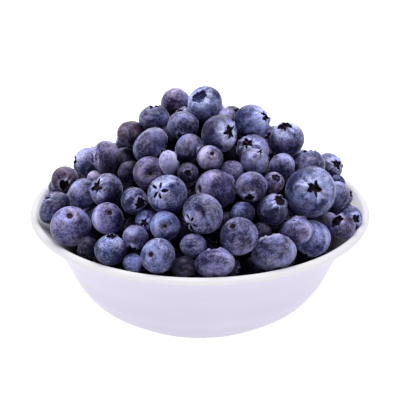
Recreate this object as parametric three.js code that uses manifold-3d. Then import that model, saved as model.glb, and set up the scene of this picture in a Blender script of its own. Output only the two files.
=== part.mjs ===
import * as THREE from "three";
import { mergeVertices } from "three/addons/utils/BufferGeometryUtils.js";
import Module from "manifold-3d";

const wasm = await Module();
wasm.setup();

// A white bowl heaped with blueberries, in millimetres. The bowl stands on z = 0
// with its middle on the Z axis, and its front faces -Y.

// Bowl
const LIP_ACROSS = 135.5;
const LIP_HEIGHT = 39.4;
const LIP_THICKNESS = 3.4;
const WALL_THICKNESS = 3.0;
const FLOOR_HEIGHT = 4.4;
const FOOT_WIDTH = 5.0;
const FOOT_RECESS = 1.2;
// Outside of the wall, as radius and height, from the foot to below the lip
const WALL_OUTSIDE = [
  [34.0, 0.0],
  [38.6, 2.8],
  [44.6, 7.1],
  [49.9, 13.8],
  [53.7, 21.6],
  [59.0, 30.7],
];
const WALL_STEPS = 9;
const LIP_STEPS = 6;
const LIP_TURN_FROM = -50;
const LIP_TURN_TO = 130;
const BOWL_SIDES = 48;

// Heap: a dome-shaped core, leaning a little to +X and steeper at the back, with
// berries fused to it
const GAP_TO_BOWL = 0.3;
const CORE_RADIUS = 62.0;
const CORE_EDGE = -3.0;
const CORE_RISE = 46.3;
const CORE_POWER = 1.6;
const CORE_LEAN = 4.5;
const CORE_BACK_SQUEEZE = 1.12;
const CORE_RINGS = 7;
const CORE_SIDES = 24;
const HEADROOM = 120.0;

// Berries: the core's top is this share of a berry's radius below its middle, and at
// most the second one, so that every berry holds on
const BERRY_SEAT = 0.72;
const BERRY_HOLD = 0.8;
const BERRY_TOUCH = 0.92;
const BERRY_SIDES = 8;
const SMALL_BERRY_SIDES = 6;
const SMALL_BERRY = 10.0;
const BERRY_TALL = 0.86;
// Profile of a berry of radius 1, from its stem end to the pit in its crown
const BERRY_PROFILE = [
  [0.0, -1.0],
  [0.62, -0.78],
  [1.0, 0.0],
  [0.74, 0.68],
  [0.34, 0.95],
  [0.0, 0.72],
];

// The front of the heap is laid out as it is seen from here
const SIGHT_DISTANCE = 870.0;
const SIGHT_ELEVATION = 23.5;
const SIGHT_STEP = 0.5;
const SIGHT_REACH = 80.0;

// Berries at the front, nearest first. Each has its place to the right of and above
// the middle of the lip, its size across, its height as a share of that, and the way
// its crown points: right, up, and NEAR if it points out of the heap or FAR into it.
const NEAR = 1;
const FAR = -1;
const FRONT_BERRIES = [
  // Along the lip
  [-51.6, -6.0, 16.4, 0.95, 0.07, -0.6, FAR],
  [-35.8, -15.4, 13.2, 0.9, 0.1, 0.88, NEAR],
  [-16.8, -17.8, 14.0, 0.95, 0.48, -0.1, FAR],
  [5.8, -20.8, 16.2, 0.7, -0.05, 0.86, NEAR],
  [29.6, -16.6, 18.6, 0.72, -0.08, 0.93, NEAR],
  [38.4, -8.0, 14.0, 0.78, -0.6, 0.6, NEAR],
  [44.6, -10.6, 15.0, 0.95, 0.1, 0.7, NEAR],
  [57.0, -6.2, 10.2, 0.95, -0.48, 0.5, NEAR],
  [60.6, -2.2, 10.0, 0.9, 0.45, -0.1, NEAR],
  [-26.8, -20.6, 8.0, 0.95, 0.0, -0.98, NEAR],
  [-6.4, -22.2, 9.6, 0.9, 0.3, -0.95, NEAR],
  [12.4, -22.2, 8.0, 0.9, 0.9, -0.3, NEAR],
  [-44.4, -14.2, 8.8, 0.9, -0.5, -0.85, NEAR],
  // Second row
  [-37.0, -2.8, 12.8, 0.95, -0.16, -0.4, FAR],
  [-25.8, -10.2, 10.4, 0.92, -0.15, -0.82, NEAR],
  [-14.0, -5.8, 12.0, 0.9, 0.0, 0.0, FAR],
  [15.6, -10.0, 15.2, 0.97, 0.4, -0.62, FAR],
  [-2.6, -13.8, 10.8, 0.95, -0.2, -0.97, NEAR],
  [-58.6, 1.8, 14.6, 0.72, -0.62, 0.74, NEAR],
  [24.4, -8.2, 8.4, 0.9, 0.3, -0.95, NEAR],
  [-21.4, -3.8, 8.8, 0.95, -0.2, -0.2, NEAR],
  [51.2, -3.8, 7.6, 0.9, 0.6, -0.8, NEAR],
  [55.2, -0.2, 6.4, 0.9, 0.7, -0.7, NEAR],
  // Third row
  [1.2, -0.8, 16.8, 0.88, -0.68, -0.5, NEAR],
  [44.2, 7.8, 20.4, 0.97, 0.16, 0.15, NEAR],
  [-37.4, 8.6, 13.6, 0.95, -0.58, 0.2, NEAR],
  [-26.4, 4.2, 10.6, 0.95, 0.5, -0.2, NEAR],
  [-13.0, 7.0, 15.8, 0.92, -0.47, 0.2, NEAR],
  [29.0, 0.6, 12.4, 0.95, 0.48, 0.65, NEAR],
  [17.0, -0.6, 9.6, 0.95, 0.0, -0.98, NEAR],
  [-46.4, 7.2, 12.0, 0.92, 0.85, -0.45, NEAR],
  [54.6, 6.6, 10.8, 0.95, -0.95, 0.1, NEAR],
  [57.4, 6.2, 8.0, 0.9, 0.85, 0.2, NEAR],
  // Fourth row
  [-54.2, 12.8, 10.8, 0.9, -0.05, -0.45, NEAR],
  [-57.2, 9.8, 8.6, 0.9, 0.9, 0.3, NEAR],
  [6.1, 8.8, 16.6, 0.92, 0.88, 0.0, FAR],
  [20.6, 9.8, 12.6, 0.95, -0.15, -0.72, NEAR],
  [29.4, 11.6, 8.8, 0.95, 0.28, 0.45, NEAR],
  [-12.6, 20.2, 10.8, 0.9, 0.95, 0.2, FAR],
  [-20.0, 15.2, 13.6, 0.92, -0.05, 0.0, FAR],
  [-4.8, 15.4, 8.4, 0.95, 0.0, 0.0, NEAR],
  [-28.2, 15.8, 9.6, 0.92, 0.2, -0.97, NEAR],
  [-42.0, 13.6, 6.4, 0.9, 0.3, -0.95, NEAR],
  [55.6, 12.0, 7.2, 0.9, -0.9, -0.4, NEAR],
  // Fifth row
  [4.0, 21.4, 10.4, 0.97, -0.2, -0.4, FAR],
  [21.8, 20.3, 11.2, 0.88, 0.35, 0.7, NEAR],
  [32.8, 18.4, 10.2, 0.95, 0.3, -0.95, NEAR],
  [12.8, 16.2, 9.4, 0.9, -0.1, -0.98, NEAR],
  [43.6, 18.6, 12.8, 0.92, 0.0, 0.96, NEAR],
  [52.3, 18.6, 11.6, 0.97, 0.5, 0.2, NEAR],
  [-37.7, 22.2, 12.0, 0.97, -0.96, -0.1, NEAR],
  [-44.8, 19.8, 11.6, 0.92, -0.9, 0.0, NEAR],
  // Crest
  [-19.8, 26.6, 15.6, 0.75, -0.7, 0.68, FAR],
  [-4.4, 25.2, 12.0, 0.92, 0.72, 0.0, NEAR],
  [7.7, 31.0, 14.8, 0.95, 0.58, 0.1, NEAR],
  [21.0, 24.4, 13.2, 0.95, -0.33, 0.48, NEAR],
  [34.8, 29.0, 13.8, 0.95, -0.1, 0.52, NEAR],
  [-6.7, 34.5, 12.6, 0.85, -0.12, -0.68, NEAR],
  [-27.7, 31.0, 11.2, 0.95, 0.2, -0.97, NEAR],
  [-18.5, 37.6, 12.6, 0.8, 0.0, 0.97, NEAR],
  [20.7, 35.7, 14.6, 0.97, 0.65, 0.3, NEAR],
  [2.0, 43.1, 14.2, 0.92, -0.38, 0.44, NEAR],
  [-10.3, 44.1, 11.2, 0.95, 0.0, -0.3, FAR],
  [10.2, 38.2, 7.6, 0.9, 0.2, -0.97, NEAR],
];

// Berries over the rest of the heap: sizes across and the most of each, largest first
const REST_SIZES = [
  [17.0, 5],
  [15.5, 10],
  [14.0, 16],
  [12.5, 16],
  [11.0, 12],
  [9.5, 8],
  [8.0, 8],
];
const REST_SEATS = [0.72, 0.4, 0.1];
const REST_SPOTS = 900;
const REST_STRIDE = 371;
const HIDDEN_CHECKS = 12;
const REST_EDGE = 0.95;
const GOLDEN_ANGLE = Math.PI * (3 - Math.sqrt(5));
const SEED = 20417;

const radians = THREE.MathUtils.degToRad;
const lipBead = LIP_THICKNESS / 2;
const lipMiddle = new THREE.Vector2(LIP_ACROSS / 2 - lipBead, LIP_HEIGHT);

// Points round the bead of the lip, seen in section, at a spare distance from it
function lipArc(fromDegrees, toDegrees, spare) {
  return Array.from({ length: LIP_STEPS + 1 }, (_, step) => {
    const turn = radians(fromDegrees + ((toDegrees - fromDegrees) * step) / LIP_STEPS);
    const reach = lipBead + spare;
    return new THREE.Vector2(Math.cos(turn), Math.sin(turn)).multiplyScalar(reach).add(lipMiddle);
  });
}

// Outside of the wall in section, from the foot up to the lip
function wallOutside() {
  const corners = WALL_OUTSIDE.map(([radius, height]) => new THREE.Vector2(radius, height));
  corners.push(lipArc(LIP_TURN_FROM, LIP_TURN_TO, 0)[0]);
  return new THREE.SplineCurve(corners);
}

// Inside of the wall in section, from the floor up to the lip, a spare distance off it
function wallInside(spare) {
  const outside = wallOutside();
  const points = [];
  for (let step = 0; step < WALL_STEPS; step += 1) {
    const share = step / WALL_STEPS;
    const along = outside.getTangent(share);
    const inward = new THREE.Vector2(-along.y, along.x);
    points.push(outside.getPoint(share).addScaledVector(inward, WALL_THICKNESS + spare));
  }
  const floor = FLOOR_HEIGHT + spare;
  const clear = points.filter((point) => point.y > floor + 1);
  const last = points[points.length - clear.length - 1];
  const share = (floor - last.y) / (clear[0].y - last.y);
  return [new THREE.Vector2(last.x + (clear[0].x - last.x) * share, floor), ...clear];
}

// Solid of revolution about the Z axis
function turned(profile, sides) {
  return new THREE.LatheGeometry(profile, sides).rotateX(Math.PI / 2);
}

function bowlGeometry() {
  const foot = WALL_OUTSIDE[0][0] - FOOT_WIDTH;
  return turned(
    [
      new THREE.Vector2(0, FOOT_RECESS),
      new THREE.Vector2(foot - FOOT_RECESS, FOOT_RECESS),
      new THREE.Vector2(foot, 0),
      ...wallOutside().getPoints(WALL_STEPS).slice(0, -1),
      ...lipArc(LIP_TURN_FROM, LIP_TURN_TO, 0),
      ...wallInside(0).reverse(),
      new THREE.Vector2(0, FLOOR_HEIGHT),
    ],
    BOWL_SIDES,
  );
}

// Space for the heap: inside the bowl, over its lip and up
function roomGeometry() {
  const overLip = lipArc(LIP_TURN_TO, 45, GAP_TO_BOWL);
  const brim = overLip[overLip.length - 1].x;
  return turned(
    [
      new THREE.Vector2(0, FLOOR_HEIGHT + GAP_TO_BOWL),
      ...wallInside(GAP_TO_BOWL),
      ...overLip,
      new THREE.Vector2(brim, HEADROOM),
      new THREE.Vector2(0, HEADROOM),
    ],
    BOWL_SIDES,
  );
}

// Height of the core's top over a point of the floor
function coreHeight(x, y) {
  const lean = CORE_LEAN * Math.max(0, 1 - Math.hypot(x, y) / CORE_RADIUS);
  const out = Math.hypot(x - lean, y > 0 ? y * CORE_BACK_SQUEEZE : y) / CORE_RADIUS;
  return LIP_HEIGHT + CORE_EDGE + CORE_RISE * (1 - out ** CORE_POWER);
}

// Way straight out of the core's top over a point of the floor
function coreNormal(x, y) {
  const reach = 0.5;
  const slopeX = (coreHeight(x + reach, y) - coreHeight(x - reach, y)) / (2 * reach);
  const slopeY = (coreHeight(x, y + reach) - coreHeight(x, y - reach)) / (2 * reach);
  return new THREE.Vector3(-slopeX, -slopeY, 1).normalize();
}

// How far a point is from the core's top, straight out of it
function riseOverCore(point) {
  return (point.z - coreHeight(point.x, point.y)) * coreNormal(point.x, point.y).z;
}

function coreGeometry() {
  const brim = LIP_ACROSS / 2;
  const profile = [new THREE.Vector2(0, 0), new THREE.Vector2(brim, 0)];
  for (let ring = CORE_RINGS; ring >= 0; ring -= 1) {
    profile.push(new THREE.Vector2((brim * ring) / CORE_RINGS, LIP_HEIGHT));
  }
  const geometry = turned(profile, CORE_SIDES);
  const place = geometry.attributes.position;
  for (let index = 0; index < place.count; index += 1) {
    if (place.getZ(index) > 1) {
      place.setZ(index, coreHeight(place.getX(index), place.getY(index)));
    }
  }
  return geometry;
}

const elevation = radians(SIGHT_ELEVATION);
const sightMiddle = new THREE.Vector3(0, 0, LIP_HEIGHT);
const sightRight = new THREE.Vector3(1, 0, 0);
const sightUp = new THREE.Vector3(0, Math.sin(elevation), Math.cos(elevation));
const sightBack = new THREE.Vector3(0, -Math.cos(elevation), Math.sin(elevation));
const eye = sightMiddle.clone().addScaledVector(sightBack, SIGHT_DISTANCE);

const liner = [...wallInside(GAP_TO_BOWL), ...lipArc(LIP_TURN_TO, 45, GAP_TO_BOWL)];

// How far a berry's middle is from the inside of the bowl
function distanceToBowl(middle) {
  const spot = new THREE.Vector2(Math.hypot(middle.x, middle.y), middle.z);
  let nearest = spot.y - FLOOR_HEIGHT;
  for (let index = 1; index < liner.length; index += 1) {
    const edge = liner[index].clone().sub(liner[index - 1]);
    const offset = spot.clone().sub(liner[index - 1]);
    const share = THREE.MathUtils.clamp(offset.dot(edge) / edge.lengthSq(), 0, 1);
    nearest = Math.min(nearest, offset.addScaledVector(edge, -share).length());
  }
  return nearest;
}

// Half of a berry's mean size
function halfSize(radius, tall) {
  return (radius * (1 + tall)) / 2;
}

// Whether a berry lies in the bowl, or on it without reaching out past the lip
function isInBowl(middle, radius, tall) {
  const reach = Math.hypot(middle.x, middle.y) + radius;
  return reach < LIP_ACROSS / 2 && distanceToBowl(middle) >= BERRY_TOUCH * halfSize(radius, tall);
}

function isClear(middle, radius, tall, berries) {
  return berries.every((other) => {
    const apart = halfSize(radius, tall) + halfSize(other.radius, other.tall);
    return middle.distanceTo(other.middle) >= BERRY_TOUCH * apart;
  });
}

// Whether the core or one of the berries stands between the eye and a point
function isBehind(point, berries) {
  const toEye = eye.clone().sub(point).normalize();
  for (let step = 1; step < SIGHT_REACH; step += 1) {
    const spot = point.clone().addScaledVector(toEye, step);
    if (Math.hypot(spot.x, spot.y) < CORE_RADIUS && spot.z < coreHeight(spot.x, spot.y)) {
      return true;
    }
  }
  return berries.some((other) => {
    const offset = other.middle.clone().sub(point);
    const along = offset.dot(toEye);
    return along > 0 && offset.addScaledVector(toEye, -along).length() < other.radius;
  });
}

// Whether all of a berry is out of sight from the front
function isHidden(middle, radius, berries) {
  for (let turn = 0; turn < HIDDEN_CHECKS; turn += 1) {
    const angle = (turn * 2 * Math.PI) / HIDDEN_CHECKS;
    const point = middle.clone();
    point.addScaledVector(sightRight, radius * Math.cos(angle));
    point.addScaledVector(sightUp, radius * Math.sin(angle));
    if (!isBehind(point, berries)) {
      return false;
    }
  }
  return true;
}

// A berry of the front: it slides along its line of sight to where it sits on the
// core, clear of the bowl and of the berries in front of it
function frontBerry([right, up, across, tall, crownRight, crownUp, crownWay], berries) {
  const spot = sightMiddle.clone().addScaledVector(sightRight, right).addScaledVector(sightUp, up);
  const away = spot.clone().sub(eye).normalize();
  const at = (slide) => spot.clone().addScaledVector(away, slide);
  const radiusAt = (slide) => (across / 2) * (1 + slide / SIGHT_DISTANCE);
  const rise = (slide) => riseOverCore(at(slide)) - BERRY_SEAT * radiusAt(slide);
  let seat = -SIGHT_REACH;
  let best = seat;
  while (rise(seat) > 0 && seat < SIGHT_REACH) {
    seat += SIGHT_STEP;
    best = rise(seat) < rise(best) ? seat : best;
  }
  let slide = rise(seat) > 0 ? best : seat;
  for (let step = 0; step < SIGHT_REACH; step += 1) {
    const trial = slide + (step % 2 ? -1 : 1) * Math.ceil(step / 2) * SIGHT_STEP;
    if (isInBowl(at(trial), radiusAt(trial), tall)) {
      slide = trial;
      break;
    }
  }
  while (!isClear(at(slide), radiusAt(slide), tall, berries) && slide < SIGHT_REACH) {
    slide += SIGHT_STEP;
  }
  const middle = at(slide);
  const radius = radiusAt(slide);
  const gap = Math.max(0, riseOverCore(middle) - BERRY_HOLD * radius * tall);
  middle.addScaledVector(coreNormal(middle.x, middle.y), -gap);
  const crownOut = Math.sqrt(Math.max(0, 1 - crownRight ** 2 - crownUp ** 2));
  const crown = new THREE.Vector3()
    .addScaledVector(sightRight, crownRight)
    .addScaledVector(sightUp, crownUp)
    .addScaledVector(away, -crownWay * crownOut)
    .normalize();
  return { middle, radius, tall, crown };
}

// Repeatable draws between 0 and 1
function drawFrom(seed) {
  let state = seed;
  return () => {
    state = (state * 16807) % 2147483647;
    return state / 2147483647;
  };
}

// Berries over the sides and back, wherever they fit, on a spiral over the core
function restBerries(placed) {
  const draw = drawFrom(SEED);
  const rest = [];
  for (const [across, most] of REST_SIZES) {
    let count = 0;
    for (let turn = 0; turn < REST_SPOTS && count < most; turn += 1) {
      const index = (turn * REST_STRIDE) % REST_SPOTS;
      const out = REST_EDGE * CORE_RADIUS * Math.sqrt((index + 0.5) / REST_SPOTS);
      const x = out * Math.cos(index * GOLDEN_ANGLE);
      const y = out * Math.sin(index * GOLDEN_ANGLE);
      const normal = coreNormal(x, y);
      const radius = (across / 2) * (0.95 + 0.1 * draw());
      const crown = new THREE.Vector3(draw() - 0.5, draw() - 0.5, draw() - 0.5).normalize();
      crown.addScaledVector(normal, 0.6).normalize();
      const foot = new THREE.Vector3(x, y, coreHeight(x, y));
      const middle = REST_SEATS.map((seat) => foot.clone().addScaledVector(normal, seat * radius)).find(
        (trial) =>
          isInBowl(trial, radius, BERRY_TALL) &&
          isClear(trial, radius, BERRY_TALL, [...placed, ...rest]) &&
          isHidden(trial, radius, placed),
      );
      if (middle) {
        rest.push({ middle, radius, tall: BERRY_TALL, crown });
        count += 1;
      }
    }
  }
  return rest;
}

function berryGeometry({ middle, radius, tall, crown }) {
  const profile = BERRY_PROFILE.map(([out, along]) => {
    return new THREE.Vector2(out * radius, along * radius * tall);
  });
  const sides = 2 * radius < SMALL_BERRY ? SMALL_BERRY_SIDES : BERRY_SIDES;
  const geometry = turned(profile, sides);
  const turn = new THREE.Quaternion().setFromUnitVectors(new THREE.Vector3(0, 0, 1), crown);
  return geometry.applyQuaternion(turn).translate(middle.x, middle.y, middle.z);
}

// Closed solid from a geometry, its shared corners merged and its empty faces dropped
function solid(geometry) {
  geometry.deleteAttribute("normal");
  geometry.deleteAttribute("uv");
  const merged = mergeVertices(geometry, 1e-4);
  const corners = merged.index.array;
  const faces = [];
  for (let index = 0; index < corners.length; index += 3) {
    const [a, b, c] = corners.slice(index, index + 3);
    if (a !== b && b !== c && c !== a) {
      faces.push(a, b, c);
    }
  }
  const vertProperties = new Float32Array(merged.attributes.position.array);
  return new wasm.Manifold(new wasm.Mesh({ numProp: 3, vertProperties, triVerts: new Uint32Array(faces) }));
}

function geometryOf(manifold) {
  const mesh = manifold.getMesh();
  const geometry = new THREE.BufferGeometry();
  geometry.setAttribute("position", new THREE.BufferAttribute(mesh.vertProperties, 3));
  geometry.setIndex(new THREE.BufferAttribute(mesh.triVerts, 1));
  return geometry;
}

function heapGeometry() {
  const berries = [];
  for (const row of FRONT_BERRIES) {
    berries.push(frontBerry(row, berries));
  }
  berries.push(...restBerries(berries));
  let heap = solid(coreGeometry());
  for (const berry of berries) {
    heap = heap.add(solid(berryGeometry(berry)));
  }
  const shells = heap.intersect(solid(roomGeometry())).decompose();
  const outerShell = shells.reduce((a, b) => (a.volume() > b.volume() ? a : b));
  return geometryOf(outerShell);
}

function piece(name, geometry, color, roughness) {
  const material = new THREE.MeshStandardMaterial({ color, roughness, metalness: 0 });
  const mesh = new THREE.Mesh(geometry, material);
  mesh.name = name;
  return mesh;
}

const bowlOfBerries = new THREE.Group();
bowlOfBerries.add(piece("bowl", bowlGeometry(), 0xf0edf5, 0.15));
bowlOfBerries.add(piece("berries", heapGeometry(), 0x4b4c78, 0.6));

export default bowlOfBerries;
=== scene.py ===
import math
from functools import lru_cache
from typing import NamedTuple

import bmesh
import bpy
import numpy as np
from bpy.props import FloatProperty, FloatVectorProperty, IntProperty, PointerProperty
from bpy.types import Operator, Panel, PropertyGroup
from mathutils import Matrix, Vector


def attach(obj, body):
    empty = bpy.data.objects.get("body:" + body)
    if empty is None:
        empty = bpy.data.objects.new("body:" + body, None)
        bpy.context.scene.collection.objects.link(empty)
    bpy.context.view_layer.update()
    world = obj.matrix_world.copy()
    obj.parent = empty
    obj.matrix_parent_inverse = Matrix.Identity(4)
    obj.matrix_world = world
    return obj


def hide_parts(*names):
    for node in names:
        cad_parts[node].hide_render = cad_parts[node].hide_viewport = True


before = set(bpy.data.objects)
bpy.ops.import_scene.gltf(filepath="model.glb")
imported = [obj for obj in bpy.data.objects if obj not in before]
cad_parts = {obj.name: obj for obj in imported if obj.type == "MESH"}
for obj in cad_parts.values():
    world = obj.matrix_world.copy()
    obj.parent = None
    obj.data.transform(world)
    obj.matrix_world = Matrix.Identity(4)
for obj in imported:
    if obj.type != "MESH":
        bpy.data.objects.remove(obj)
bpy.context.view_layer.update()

bl_info = {
    "name": "Bowl of blueberries",
    "version": (1, 0, 0),
    "blender": (4, 5, 0),
    "location": "View3D > Sidebar > Blueberries",
    "description": "Makes a white bowl heaped with blueberries",
    "category": "Object",
}

# Sizes are in millimetres unless a comment says metres, and MM turns them into metres.
MM = 0.001

# Bowl, the same as the solid that it replaces. Its lip is a round bead, and LIP_HEIGHT is
# the height of the bead's middle.
LIP_ACROSS = 135.5
LIP_HEIGHT = 39.4
LIP_THICKNESS = 3.4
WALL_THICKNESS = 3.0
FLOOR_HEIGHT = 4.4
FOOT_WIDTH = 5.0
FOOT_RECESS = 1.2
# Outside of the wall, as radius and height, from the foot to below the lip
WALL_OUTSIDE = [(34.0, 0.0), (38.6, 2.8), (44.6, 7.1), (49.9, 13.8), (53.7, 21.6), (59.0, 30.7)]
# Turns round the bead, in degrees up from level: where it leaves the wall outside, where it
# comes back to it inside, and how far out berries can lie on it
LIP_TURN_FROM = -50
LIP_TURN_TO = 130
LIP_TURN_INSIDE = 45
# Points of the wall's inside that are less than this over the floor give way to the floor.
FLOOR_CLEARANCE = 1.0
# Steps of the bowl's inside as the core and the berries meet it, and the berries' gap to it
WALL_STEPS = 9
LIP_STEPS = 6
GAP_TO_BOWL = 0.3
# Where the paler colour of the lip starts and where it is full, below the bead's middle. That
# colour is painted light on the lip and on the whole inside.
RIM_START = 1.4
RIM_FULL = 0.2
# Heights between which painted shade darkens the glaze under the lip and down to the foot, with
# the darkest of each as a share, the paler clouds in it, and how much rougher some are
UNDER_LIP = (24.0, 35.0)
UNDER_LIP_PAINTED_SHADE = 0.88
OVER_FOOT = (0.0, 12.0)
FOOT_PAINTED_SHADE = 0.78
PALE_CLOUDS = 1.05
GLAZE_UNEVEN = 0.08
# Edges of the bowl that are sharper than this, in degrees, stay sharp. Points of a turned
# shell that are nearer to each other than this are merged.
SMOOTH_ANGLE = 40
MERGE_WITHIN = 0.01

# Dome that the berries lie on: its radius, its edge over the lip, the rise of its top over
# that edge, how full it is, how far its top leans to the right, and how much it is
# squeezed at the back
CORE_RADIUS = 62.0
CORE_EDGE = -3.0
CORE_RISE = 46.3
CORE_POWER = 1.6
CORE_LEAN = 4.5
CORE_BACK_SQUEEZE = 1.12
# Dark core below that dome, painted near-black as shade deep in the heap: its gap to the bowl, how
# far its wall ends below its edge, its steps and its colours
CORE_GAP = 1.0
CORE_WALL_DROP = 2.0
CORE_RINGS = 12
CORE_SIDES = 48
CORE_SHADE_DARK = (0.004, 0.003, 0.007, 1.0)
CORE_SHADE_PALE = (0.016, 0.014, 0.026, 1.0)

# How berries sit: how high over the dome one at the front stops and the most that it ends
# up, in its radii, how near berries come to each other and to the bowl, as a share of
# touching, and how tall those are that aren't at the front
BERRY_SEAT = 0.72
BERRY_HOLD = 0.8
BERRY_TOUCH = 0.92
BERRY_TALL = 0.86

# Sight from the front, and the steps and the reach with which berries slide along it
SIGHT_DISTANCE = 870.0
SIGHT_ELEVATION = 23.5
SIGHT_STEP = 0.5
SIGHT_REACH = 80
# Width of the camera's sensor
SENSOR_WIDTH = 36

# Crowns: lobes that lie open as a star, stand round a dark hollow, are folded in over it,
# or stand round an open cup
STAR = "star"
TEETH = "teeth"
FOLDED = "folded"
RING = "ring"

# Crowns point towards the eye or away from it.
NEAR = 1
FAR = -1


class FrontBerry(NamedTuple):
    """A berry at the front, as it is seen. Each of its marks has its kind, its place to the
    right of and above the berry's middle, its turn in degrees, and half its length and
    width, all in radii of the berry."""

    # Place from the middle of the lip, size, and height from stem to crown as a share of it
    right: float
    up: float
    across: float
    tall: float
    # The way the crown points, with NEAR or FAR
    crown_right: float
    crown_up: float
    crown_side: int
    crown: str
    look: str
    # More or less bloom than the look gives, partly the berry's own and partly painted light and
    # shade that sets how bright the berry looks where it lies
    bloom: float = 0.0
    # Size of the crown, and its turn in degrees from the right, where they aren't drawn
    crown_size: float | None = None
    crown_turn: float | None = None
    marks: tuple | list = ()


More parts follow.
